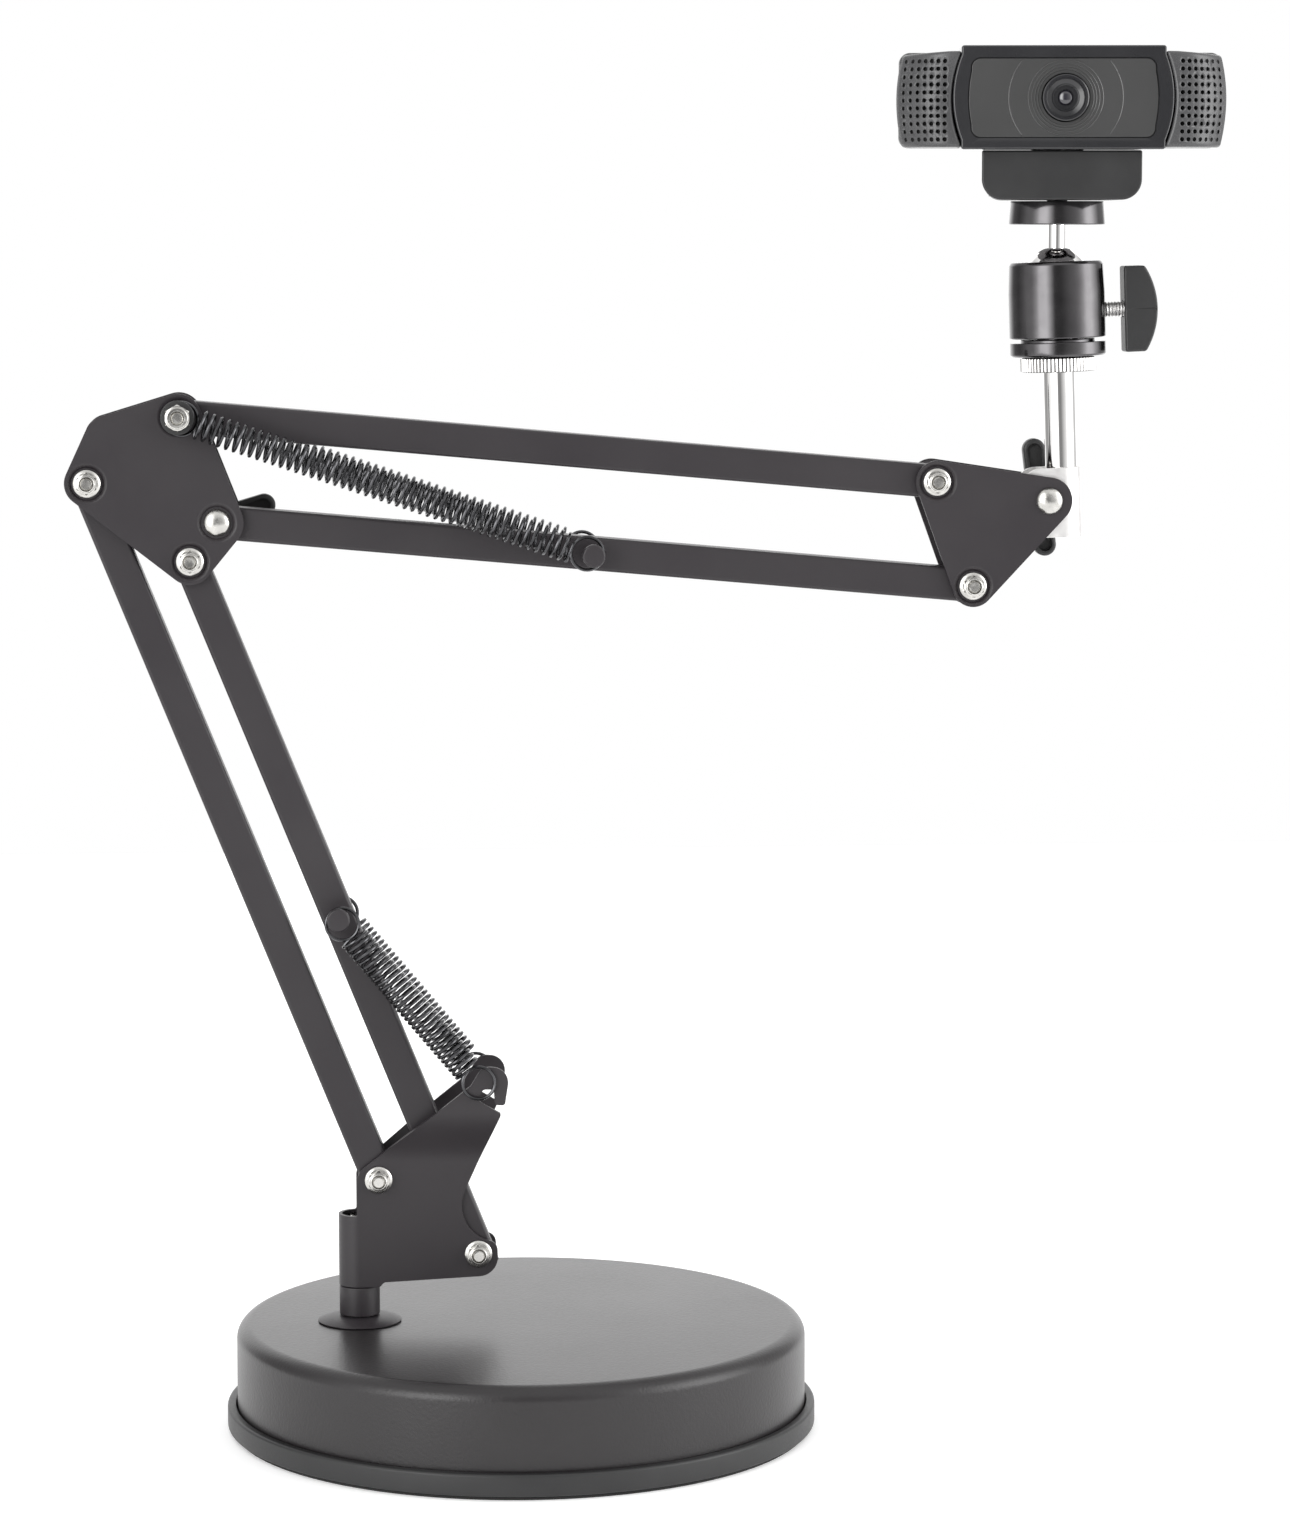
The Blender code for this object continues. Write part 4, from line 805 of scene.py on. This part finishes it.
def ease(made, edge, segments=3, limit=40.0):
    """Rounds a piece's edges that turn by more than the angle limit."""
    bevel = made.modifiers.new("ease", "BEVEL")
    bevel.width = edge * MM
    bevel.segments = segments
    bevel.limit_method = "ANGLE"
    bevel.angle_limit = radians(limit)
    return even_out(settle(made))


def slab(name, outline, low, high, look, place=Matrix(), edge=0.0, segments=3, limit=40.0):
    """An outline in X and Z given a depth from low to high along Y, its edges rounded."""
    count = len(outline)
    points = [place @ Vector((p[0], y, p[1])) for y in (low, high) for p in outline]
    faces = [tuple(range(count)), tuple(range(count, 2 * count))]
    faces += [(i, (i + 1) % count, count + (i + 1) % count, count + i) for i in range(count)]
    made = solid(name, points, faces, look)
    return ease(made, edge, segments, limit) if edge else made


DOME_RADIUS, DOME_HEIGHT = 3.9, 2.1
SHANK_RADIUS = 1.9
WING_REACH, WING_ROUND = 14.0, 3.3
WING_FRONT, WING_BACK = 2.5, 6.7
HOLLOW_DEPTH = 1.2
for label, pivot, seat, lean, bolt_body, body in (
        ("elbow_lock", ELBOW_LOCK, SEAT, -16.7, "elbow", "elbow_wing"),
        ("head_lock", HEAD_HINGE, PLATE_Y + SHEET / 2, -97.1, "end_bracket", "head_wing")):
    tip = seat + 11.0
    under_head = seat + SEAT_GAP
    dome = [Vector((DOME_RADIUS * sin(radians(a)), under_head + DOME_HEIGHT * cos(radians(a))))
            for a in range(3, 85, 9)]
    shank = [Vector((radius, -height)) for radius, height in thread(SHANK_RADIUS, 3.0, tip - 0.4)]
    profile = [(0, under_head + DOME_HEIGHT)] + dome + [(DOME_RADIUS, under_head), (SHANK_RADIUS, under_head)]
    bolt = turned(label + "_round_bolt", profile + shank + [(1.4, -tip), (0, -tip)], steel,
                  Matrix.Translation((pivot.x, 0, pivot.y)) @ forward, 64)
    fit(bolt, bolt_body, "chrome", label + "_bolt")

    place = Matrix.Translation((pivot.x, seat + 0.3, pivot.y)) @ Matrix.Rotation(radians(lean), 4, "Y")
    back = place @ Matrix.Rotation(-pi / 2, 4, "X")
    hub_profile = rounded([(0, 0, 0), (4.4, 0, 0.3), (3.7, 5.6, 0.6), (0, 5.6, 0)], 15)
    hub = turned("hub", hub_profile, moulded, back, 64)
    wing_outline = belt([(Vector((-WING_REACH, 0)), WING_ROUND), (Vector((WING_REACH, 0)), WING_ROUND)])
    wings = slab(label + "_thumb_nut", wing_outline, WING_FRONT, WING_BACK, moulded, place, 0.9, 3)
    carve(wings, hub, operation="UNION")
    # The hollows are cut with the rubber finish, and their faces keep it: painted shade in the finger
    # recesses, not a second material on the real nut.
    hollows = [slab("hollow", belt([(Vector((side * 13.8, 0)), 2.1), (Vector((side * 8.2, 0)), 1.7)]),
                    y - HOLLOW_DEPTH, y + HOLLOW_DEPTH, rubber, place)
               for side in (-1, 1) for y in (WING_FRONT - 0.1, WING_BACK + 0.1)]
    hollows.append(turned("bore", [(0, -1), (BOLT_HOLE, -1), (BOLT_HOLE, 9), (0, 9)], moulded, back, 32))
    carve(wings, *hollows)
    fit(even_out(wings), body, "plastic", label + "_wing_nut")


# ---------------------------------------------------------------- strap and post
# A bent strap of brushed chrome hangs on the head lock and wraps the bright chrome post, which turns in
# it. The post's top spigot carries the knurled lock nut and the black ball head.

POST_LEAN = -2.0
POST_OFFSET = 4.7
head = standing(HEAD_HINGE, radians(POST_LEAN))
post = head @ Matrix.Translation((POST_OFFSET, 0, 0))
chrome = finish("bright_chrome", ((0.83, 0.82, 0.81), (0.90, 0.89, 0.88)), 0.07, metallic=1.0,
                grain=(160.0, 0.06, 0.02), patch=150.0, spread=0.03)
brushed = finish("brushed_chrome", ((0.84, 0.83, 0.82), (0.92, 0.91, 0.90)), 0.42, metallic=1.0,
                 grain=(300.0, 0.15, 0.02), stretch=(1, 1, 9), patch=200.0)
POST_RADIUS = 4.6
STRAP_LOW, STRAP_HIGH = -10.9, 9.4
EAR, EAR_ROUND = -8.1, 6.0
inner, outer = POST_RADIUS + 0.3, POST_RADIUS + 0.9
wrap = [Vector((EAR, -outer))] + arc((POST_OFFSET, 0), outer, -90, 90, 5)
wrap += [Vector((EAR, outer)), Vector((EAR, inner))]
wrap += arc((POST_OFFSET, 0), inner, 90, -90, 5) + [Vector((EAR, -inner))]
upright = Matrix.Rotation(-pi / 2, 4, "X")
strap = slab("chrome_strap", wrap, -STRAP_HIGH, -STRAP_LOW, brushed, head @ upright)
ear_outline = belt([(Vector((EAR + EAR_ROUND, STRAP_LOW + EAR_ROUND)), 5.9),
                    (Vector((30, STRAP_LOW + 0.1)), 0.1), (Vector((30, STRAP_HIGH - 0.1)), 0.1),
                    (Vector((EAR + EAR_ROUND, STRAP_HIGH - EAR_ROUND)), 5.9)])
carve(strap, slab("ear_shape", ear_outline, -15, 15, brushed, head), operation="INTERSECT")
hole = turned("hole", [(0, -10), (BOLT_HOLE, -10), (BOLT_HOLE, 10), (0, 10)], brushed, head @ forward, 48)
carve(strap, hole)
fit(ease(strap, 0.12, 2), "holder", "chrome", "post_holder")

groove, groove_radius = 2.4, 2.3
rod_profile = rounded([(0, 45.2, 0), (2.9, 45.2, 0.5), (2.9, 41.4, 0), (POST_RADIUS, 41.4, 0.5),
                       (POST_RADIUS, groove, 0.2), (groove_radius, groove, 0), (groove_radius, -groove, 0),
                       (POST_RADIUS, -groove, 0.2), (POST_RADIUS, -10.3, 0.5), (0, -10.3, 0)], 15)
rod = turned("chrome_post", rod_profile, chrome, post, 96)
fit(rod, "post", "chrome", "head_post")

knurled_edge, entry = new_tree("knurled_edge", {"Count": "Int", "Radius": "Float", "Height": "Float",
                                                "Rib": "Float", "Finish": "Material"}, "Ribs")
edge = node(knurled_edge, "GeometryNodeMeshCircle", {"Vertices": entry["Count"], "Radius": entry["Radius"]})
stick = node(knurled_edge, "GeometryNodeMeshCylinder",
             {"Vertices": 8, "Radius": entry["Rib"], "Depth": entry["Height"]})
placed = node(knurled_edge, "GeometryNodeInstanceOnPoints",
              {"Points": edge.outputs[0], "Instance": stick.outputs["Mesh"]})
end_tree(knurled_edge, placed.outputs[0], entry["Finish"])

NUT_LOW, NUT_HIGH, NUT_RADIUS = 37.0, 41.1, 10.5
blasted = finish("knurl_floor", ((0.12, 0.12, 0.12), (0.20, 0.20, 0.20)), 0.38, metallic=1.0)
worn_chrome = finish("knurl_chrome", ((0.56, 0.55, 0.54), (0.72, 0.71, 0.70)), 0.18, metallic=1.0,
                     grain=(500.0, 0.2, 0.02), patch=400.0)
nut_wall = rounded([(4.9, NUT_HIGH, 0.2), (NUT_RADIUS, NUT_HIGH, 0.3), (NUT_RADIUS, NUT_LOW, 0.3),
                    (4.9, NUT_LOW, 0.2)], 20)
lock_nut = turned("knurled_lock_nut", nut_wall, blasted, post, 144)
ribs = grow("ribs", knurled_edge, {"Count": 60, "Radius": NUT_RADIUS * MM, "Rib": 0.42 * MM,
                                   "Height": (NUT_HIGH - NUT_LOW - 0.5) * MM, "Finish": worn_chrome})
shift(ribs, post @ Matrix.Translation((0, 0, (NUT_LOW + NUT_HIGH) / 2)))
carve(lock_nut, ribs, operation="UNION")
fit(lock_nut, "lock_nut", "chrome", "post_lock_nut")


# ---------------------------------------------------------------- ball head
# Turned aluminium, anodised gloss black: a pan ring, and a split housing that a threaded clamp screw
# closes on a chrome ball. The screw's knob is moulded, with a parting line round its middle.

anodised = finish("black_anodised", ((0.086, 0.083, 0.086), (0.106, 0.103, 0.106)), 0.16, metallic=1.0,
                  grain=(300.0, 0.05, 0.02), stretch=(1, 1, 12), patch=180.0, spread=0.04)
pan_profile = rounded([(0, 50.1, 0), (5.9, 50.1, 0.3), (5.9, 46.4, 0), (10.75, 46.4, 0.3), (10.75, 45.5, 0),
                       (13.9, 45.5, 0.25), (13.9, 42.0, 0.25), (13.4, 41.5, 0.1), (3.2, 41.5, 0),
                       (3.2, 46.0, 0), (0, 46.0, 0)], 20)
fit(turned("pan_disc", pan_profile, anodised, post, 128), "post", "anodised", "pan_ring")

HOUSING_LOW, HOUSING_HIGH, HOUSING_RADIUS = 46.7, 68.7, 14.0
BALL_HEIGHT, BALL_RADIUS = 63.6, 9.5
CLAMP_HEIGHT = 54.3
SPLIT_BEARING = 65
cavity = BALL_RADIUS + 1.6
bowl = arc((0, BALL_HEIGHT), cavity, -89, 18, 8)[1:]
outside = rounded([(8.35, HOUSING_HIGH, 0.15), (13.0, HOUSING_HIGH, 0.8), (13.6, HOUSING_HIGH - 1.0, 0.5),
                   (HOUSING_RADIUS, HOUSING_HIGH - 9, 3.0), (HOUSING_RADIUS, HOUSING_LOW, 0.4),
                   (6.2, HOUSING_LOW, 0), (6.2, 50.4, 0), (0.4, 50.4, 0)], 12)
inside = [(0.4, BALL_HEIGHT - cavity)] + bowl + [(8.95, HOUSING_HIGH - 0.95)]
housing = turned("split_housing", outside + inside, anodised, post, 160)
slit_place = post @ Matrix.Rotation(radians(SPLIT_BEARING), 4, "Z")
slit = box_tool((1.3, 8.0, 19.5), (0, -13.5, (HOUSING_LOW + HOUSING_HIGH) / 2 + 0.1), anodised, slit_place)
clamp = post @ Matrix.Translation((0, 0, CLAMP_HEIGHT))
sideways = clamp @ Matrix.Rotation(pi / 2, 4, "Y")
bore = turned("bore", [(0, 7), (2.6, 7), (2.6, 16), (0, 16)], anodised, sideways, 40)
carve(housing, slit, bore)
fit(even_out(housing), "ball_head", "anodised", "ball_housing")
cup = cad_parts["ball_seat"]
cup.data.materials.clear()
cup.data.materials.append(moulded)

bright = finish("bright_zinc", ((0.80, 0.79, 0.78), (0.94, 0.93, 0.92)), 0.42, metallic=1.0,
                grain=(600.0, 0.2, 0.02), patch=500.0)
CLAMP_RADIUS = 2.25
ridges = thread(CLAMP_RADIUS, 9.8, 19.6, 0.9)[::-1]
screw = turned("clamp_thread", [(0, 20.6), (CLAMP_RADIUS, 20.6)] + ridges + [(1.8, 9.1), (0, 9.1)], bright,
               sideways, 56)
fit(screw, "clamp", "chrome", "clamp_screw")
KNOB_START, KNOB_DEPTH, KNOB_HALF, KNOB_BOW = 19.0, 9.9, 12.4, 23.0
bow = arc((KNOB_START + KNOB_DEPTH - KNOB_BOW, 0), KNOB_BOW, -32.5, 32.5, 3)
knob_outline = [Vector((KNOB_START + 0.2, KNOB_HALF)), Vector((KNOB_START + 0.2, -KNOB_HALF))] + bow
knob = slab("clamp_t_knob", knob_outline, -3.9, 3.9, moulded, clamp, 0.7, 4, 35)
seam = [box_tool((14.0, 0.5, 0.22), (26.0, side * 3.95, 0), moulded, clamp) for side in (-1, 1)]
carve(knob, turned("bore", [(0, 15), (2.5, 15), (2.5, 20.9), (0, 20.9)], moulded, sideways, 32), *seam)
fit(even_out(knob), "clamp", "plastic", "clamp_knob")

PLATFORM_LOW, PLATFORM_HIGH = 350.7, 357.4
CAMERA_TURN = -5.5
BALL_FLAT = 3.3
SCREW_TOP, SCREW_RADIUS = 362.9, 2.95
ball_centre = post @ Vector((0, 0, BALL_HEIGHT))
camera_frame = Matrix.Translation((ball_centre.x, 0, 0)) @ Matrix.Rotation(radians(CAMERA_TURN), 4, "Z")
flat_angle = degrees(acos(BALL_FLAT / BALL_RADIUS))
flat_z = ball_centre.z + BALL_RADIUS * sin(radians(flat_angle))
stem_top = rounded([(0, SCREW_TOP, 0), (SCREW_RADIUS, SCREW_TOP, 0.6), (SCREW_RADIUS, PLATFORM_LOW + 0.3, 0),
                    (2.5, PLATFORM_LOW + 0.3, 0), (2.5, flat_z, 0)], 15)
ball = arc((0, ball_centre.z), BALL_RADIUS, flat_angle, -89, 4) + [(0, ball_centre.z - BALL_RADIUS)]
fit(turned("ball_and_stem", stem_top + ball, chrome, camera_frame, 96), "ball", "chrome", "ball_stem")
disc_wall = rounded([(3.3, PLATFORM_HIGH, 0), (13.4, PLATFORM_HIGH, 0.3), (13.95, PLATFORM_LOW, 0.35),
                     (3.3, PLATFORM_LOW, 0)], 20)
disc = turned("camera_disc", disc_wall, anodised, camera_frame, 128)
fit(disc, "ball", "anodised", "camera_platform")


# ---------------------------------------------------------------- clip
# The camera's folding clip, moulded with a fine spark-eroded texture: a block that screws down on the
# camera disc and holds the camera's hinge, and a leg hinged behind it that would grip a screen's back.

CLIP_LOW, CLIP_HIGH, CLIP_HALF = 357.7, 371.7, 22.8
CLIP_FRONT, CLIP_BACK = -19.0, 13.0
TAPER = 0.09
LEG_HALF, LEG_THICK = 14.5, 2.2
LEG_HINGE = Vector((0, 17.6, 361.4))
CAMERA_HINGE = Vector((0, 3.4, 370.6))
KNUCKLE_X = 16.9


def crosswise(name, radius, half_length, hinge, x=0):
    """A round bar along the camera's width, centred on a hinge."""
    place = camera_frame @ Matrix.Translation((x, hinge.y, hinge.z)) @ Matrix.Rotation(pi / 2, 4, "Y")
    return turned(name, [(0, -half_length), (radius, -half_length), (radius, half_length), (0, half_length)],
                  moulded, place, 40)


clip_outline = rounded([(-CLIP_HALF, CLIP_HIGH, 0.6), (-CLIP_HALF, CLIP_LOW, 5.8), (CLIP_HALF, CLIP_LOW, 5.8),
                        (CLIP_HALF, CLIP_HIGH, 0.6)], 6)
block = slab("clip_body", clip_outline, CLIP_FRONT, CLIP_BACK, moulded, Matrix(), 0.6, 4, 50)
for vert in block.data.vertices:
    vert.co.x *= 1 - TAPER * (vert.co.y / MM - CLIP_FRONT) / (CLIP_BACK - CLIP_FRONT)
shift(block, camera_frame)
knuckles = []
for side in (-1, 1):
    knuckles += [box_tool((3.4, 7.6, 4.2), (side * KNUCKLE_X, 13.8, LEG_HINGE.z), moulded, camera_frame),
                 crosswise("knuckle", 2.5, 1.8, LEG_HINGE, side * KNUCKLE_X)]
carve(block, *knuckles, crosswise("leg_pin", 1.2, 17.0, LEG_HINGE), operation="UNION")
screw_hole = turned("bore", [(0, 356), (3.3, 356), (3.3, 363.6), (0, 363.6)], moulded, camera_frame, 48)
hinge_gap = box_tool((16.0, 8.0, 6.2), CAMERA_HINGE + Vector((0, 0.9, 3.1)), moulded, camera_frame)
carve(block, crosswise("relief", 3.1, 8.0, CAMERA_HINGE), hinge_gap, screw_hole)
carve(block, crosswise("camera_pin", 1.1, 9.0, CAMERA_HINGE), operation="UNION")
fit(even_out(block), "clip", "plastic", "clip_block")

leg_outline = rounded([(-LEG_HALF, -LEG_THICK, 0.2), (LEG_HALF, -LEG_THICK, 0.2), (LEG_HALF, LEG_THICK, 0.2),
                       (-LEG_HALF, LEG_THICK, 0.2)], 30)
leg = slab("clip_back_leg", leg_outline, 1.0, 34.0, moulded,
           camera_frame @ Matrix.Translation(LEG_HINGE), 1.2, 4, 50)
carve(leg, crosswise("barrel", 2.4, LEG_HALF, LEG_HINGE), operation="UNION")
carve(leg, crosswise("bore", 1.5, 20.0, LEG_HINGE))
fit(even_out(leg), "leg", "plastic", "clip_leg")


# ---------------------------------------------------------------- camera
# A moulded camera: a rear shell, a barrel-shaped front bezel with an inset gloss panel round the lens,
# and two bowed grilles at the ends with columns of small round holes.

CAMERA_LOW, CAMERA_HIGH = 371.9, 401.1
CAMERA_MIDDLE = (CAMERA_LOW + CAMERA_HIGH) / 2
WING_LOW, WING_HIGH = CAMERA_LOW + 0.6, CAMERA_HIGH - 1.6
WING_MIDDLE = (WING_LOW + WING_HIGH) / 2
SHELL_HALF, SHELL_BACK = 46.0, 1.1
SEAM_Y = -10.4

shell_outline = rounded([(-SHELL_HALF, WING_LOW, 3.0), (SHELL_HALF, WING_LOW, 3.0),
                         (SHELL_HALF, WING_HIGH, 3.0), (-SHELL_HALF, WING_HIGH, 3.0)], 10)
shell = slab("camera_back", shell_outline, SEAM_Y + 0.3, SHELL_BACK, moulded, camera_frame, 3.6, 8, 50)
carve(shell, box_tool((86.0, 8.0, WING_HIGH - WING_LOW - 5.0), (0, -7.6, WING_MIDDLE), moulded, camera_frame),
      box_tool((100.0, 6.0, 40.0), (0, -13.1, CAMERA_MIDDLE), moulded, camera_frame))
lug = box_tool((14.6, 6.5, 4.1), CAMERA_HINGE + Vector((0, -1.65, 3.35)), moulded, camera_frame)
carve(shell, crosswise("lug", 2.4, 7.3, CAMERA_HINGE), lug, operation="UNION")
inlet_place = camera_frame @ Matrix.Translation((-26.0, 0, CAMERA_LOW + 9.0)) @ upright
inlet = turned("inlet", [(0, -3), (1.9, -3), (1.9, 4), (0, 4)], moulded, inlet_place, 40)
carve(shell, crosswise("bore", 1.4, 9.0, CAMERA_HINGE), inlet)
fit(even_out(shell), "camera", "plastic", "rear_shell")

perforation, entry = new_tree("perforation_column", {"Rows": "Int", "Pitch": "Float", "Hole Radius": "Float",
                                                     "Depth": "Float", "Finish": "Material"}, "Punches")
step = node(perforation, "ShaderNodeCombineXYZ", {2: entry["Pitch"]}).outputs[0]
line = node(perforation, "GeometryNodeMeshLine", {"Count": entry["Rows"], "Offset": step})
punch = node(perforation, "GeometryNodeMeshCylinder",
             {"Vertices": 14, "Radius": entry["Hole Radius"], "Depth": entry["Depth"]})
laid = node(perforation, "GeometryNodeTransform",
            {"Geometry": punch.outputs["Mesh"], "Rotation": (pi / 2, 0, 0)})
placed = node(perforation, "GeometryNodeInstanceOnPoints",
              {"Points": line.outputs[0], "Instance": laid.outputs[0]})
end_tree(perforation, placed.outputs[0], entry["Finish"])

grille_plastic = finish("grille_plastic", ((0.056, 0.056, 0.058), (0.072, 0.072, 0.074)), 0.28,
                        grain=(2200.0, 0.25, 0.02), patch=80.0)
# The punches carry this near-black finish into the walls and floors of the grille holes: painted shade,
# standing in for the dark inside the holes.
painted_hole_shade = finish("hole_shade_paint", ((0.006, 0.006, 0.006), (0.010, 0.010, 0.010)), 0.8,
                    grain=(2000.0, 0.2, 0.02), specular=0.2)
WING_SEAM, WING_TIP = 31.65, 47.0
WING_SPAN = WING_TIP - WING_SEAM
WING_FACE, WING_BOW, BOW_POWER = -22.2, 9.8, 2.6
SEAM_CURVE, TIP_CURVE = 2.9, 1.7
WING_HALF_HEIGHT = (WING_HIGH - WING_LOW) / 2
ROWS, COLUMNS, ROW_PITCH = 11, 7, 2.2
FIRST_COLUMN, COLUMN_STEP = 0.13, 0.125
HOLE_RADIUS, HOLE_DEPTH = 0.62, 2.4


def wing_loop(height):
    """The wing from above at a height: the bowed front from the seam to the tip, and the flat back."""
    share = (height - WING_MIDDLE) / WING_HALF_HEIGHT
    seam = WING_SEAM - SEAM_CURVE * share * share
    tip = WING_TIP - TIP_CURVE * share * share
    bowed = [(seam + (tip - seam) * a, WING_FACE + WING_BOW * a ** BOW_POWER)
             for a in [i / 18 for i in range(19)]]
    return bowed + [(tip - 0.2, SEAM_Y - 0.8), (tip - 0.6, SEAM_Y), (seam, SEAM_Y)]


def droop(x, height):
    """How far the top has fallen there: 1 mm at the tip, nothing at the seam or below the middle."""
    return max(0.0, (x - 32.0) / 15.0) * max(0.0, (height - WING_MIDDLE) / WING_HALF_HEIGHT)


levels = [WING_LOW + (WING_HIGH - WING_LOW) * i / 20 for i in range(21)]
count = len(wing_loop(WING_LOW))
faces = [tuple(range(count)), tuple(range((len(levels) - 1) * count, len(levels) * count))]
for row in range(0, (len(levels) - 1) * count, count):
    faces += [(row + i, row + (i + 1) % count, row + count + (i + 1) % count, row + count + i)
              for i in range(count)]
for label, sign in (("left", -1), ("right", 1)):
    points = [camera_frame @ Vector((sign * x, y, z - droop(x, z))) for z in levels for x, y in wing_loop(z)]
    wing = ease(solid(label + "_speaker_grille", points, faces, grille_plastic), 0.9, 3, 50)
    punches = []
    for column in range(COLUMNS):
        share = FIRST_COLUMN + COLUMN_STEP * column
        x, y = WING_SEAM + WING_SPAN * share, WING_FACE + WING_BOW * share ** BOW_POWER
        slope = atan2(WING_BOW * BOW_POWER * share ** (BOW_POWER - 1), WING_SPAN)
        tool = grow("punch", perforation, {"Rows": ROWS, "Pitch": ROW_PITCH * MM, "Finish": painted_hole_shade,
                                           "Hole Radius": HOLE_RADIUS * MM, "Depth": HOLE_DEPTH * MM})
        lowest = WING_MIDDLE - ROW_PITCH * (ROWS - 1) / 2 - 0.3
        where = camera_frame @ Matrix.Translation((sign * x, y, lowest))
        shift(tool, where @ Matrix.Rotation(sign * slope, 4, "Z"))
        punches.append(tool)
    carve(wing, *punches)
    fit(wing, "camera", "plastic", label + "_grille")


def barrel(half_width, low, high, bulge, radius):
    """A front outline whose sides bow out by the bulge at mid height."""
    middle, reach = (low + high) / 2, (high - low) / 2 - radius
    side = [Vector((half_width - bulge * (t / 8) ** 2, middle + reach * t / 8)) for t in range(-7, 8)]
    lower = arc((side[-1].x - radius, low + radius), radius, -90, -8)
    upper = arc((side[-1].x - radius, high - radius), radius, 8, 90)
    right = lower + side + upper
    return right + [Vector((-p.x, p.y)) for p in reversed(right)]


gloss = finish("gloss_panel", ((0.044, 0.044, 0.044), (0.050, 0.050, 0.050)), 0.24, grain=(500.0, 0.03, 0.01),
               coat=0.5, patch=40.0, spread=0.02)
piano = finish("bezel_plastic", ((0.015, 0.015, 0.017), (0.020, 0.020, 0.022)), 0.24,
               grain=(900.0, 0.06, 0.01), coat=0.3, patch=60.0, spread=0.03)
BEZEL_FRONT, PANEL_FRONT, PANEL_BACK = -22.6, -22.35, -21.7
bezel = slab("camera_bezel", barrel(31.35, CAMERA_LOW, CAMERA_HIGH, 3.1, 0.8), BEZEL_FRONT, SEAM_Y, piano,
             camera_frame, 0.6, 4, 50)
LENS_X, LENS_Z = 0.6, 386.4
lens_axis = camera_frame @ Matrix.Translation((LENS_X, 0, LENS_Z)) @ forward
recess = slab("recess", barrel(27.1, CAMERA_LOW + 3.1, CAMERA_HIGH - 3.4, 1.0, 2.8), -30.0, PANEL_BACK + 0.3,
              piano, camera_frame)
carve(bezel, recess, turned("well", [(0, -1), (7.2, -1), (7.2, 30), (0, 30)], piano, lens_axis, 80))
fit(even_out(bezel), "camera", "plastic", "front_bezel")

face = slab("gloss_lens_panel", barrel(26.8, CAMERA_LOW + 3.4, CAMERA_HIGH - 3.7, 1.0, 2.6), PANEL_FRONT,
            PANEL_BACK, gloss, camera_frame, 0.2, 2, 50)
carve(face, turned("hole", [(0, -1), (6.9, -1), (6.9, 30), (0, 30)], gloss, lens_axis, 96))


def ridge(radius):
    """A fine raised ring in the panel, round the lens."""
    low, top, half = 22.36, 22.47, 0.2
    return turned("ring", [(radius - half, 22.2), (radius - half, low), (radius, top), (radius + half, low),
                           (radius + half, 22.2)], gloss, lens_axis, 120)


limits = slab("limits", barrel(26.4, CAMERA_LOW + 3.8, CAMERA_HIGH - 4.1, 1.0, 2.2), -23.0, -22.0, gloss,
              camera_frame)
for radius in (7.9, 8.7, 9.6, 10.6):
    carve(face, ridge(radius), operation="UNION")
outer_ridge = carve(ridge(16.2), limits, operation="INTERSECT")
carve(face, outer_ridge, operation="UNION")
fit(even_out(face), "camera", "gloss", "front_panel")

optic = finish("lens_black", ((0.010, 0.010, 0.012), (0.016, 0.016, 0.018)), 0.22, grain=(700.0, 0.05, 0.01),
               coat=0.4, patch=120.0, spread=0.03)
glass = finish("coated_glass", ((0.008, 0.009, 0.014), (0.016, 0.014, 0.022)), 0.05,
               grain=(200.0, 0.01, 0.01), coat=1.0, patch=300.0, spread=0.01, specular=0.8)
steps_in = [(0, 21.4), (2.2, 21.4), (2.3, 22.0), (3.3, 22.05), (3.5, 22.6), (3.75, 22.65), (3.85, 22.35),
            (5.2, 22.75), (5.3, 23.2), (5.55, 23.75), (6.25, 23.8), (6.55, 23.6), (6.6, 23.3), (6.6, 11.0),
            (0, 11.0)]
fit(turned("lens_tube", steps_in, optic, lens_axis, 112, 25), "camera", "gloss", "lens_barrel")
EYE_RADIUS, EYE_SEAT, EYE_HEIGHT = 2.15, 21.3, 1.0
dome = [(EYE_RADIUS * sin(radians(a)), EYE_SEAT + EYE_HEIGHT * cos(radians(a))) for a in range(9, 91, 9)]
eye = turned("lens_glass", [(0, EYE_SEAT + EYE_HEIGHT)] + dome + [(0, EYE_SEAT)], glass, lens_axis, 64)
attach(eye, "camera")
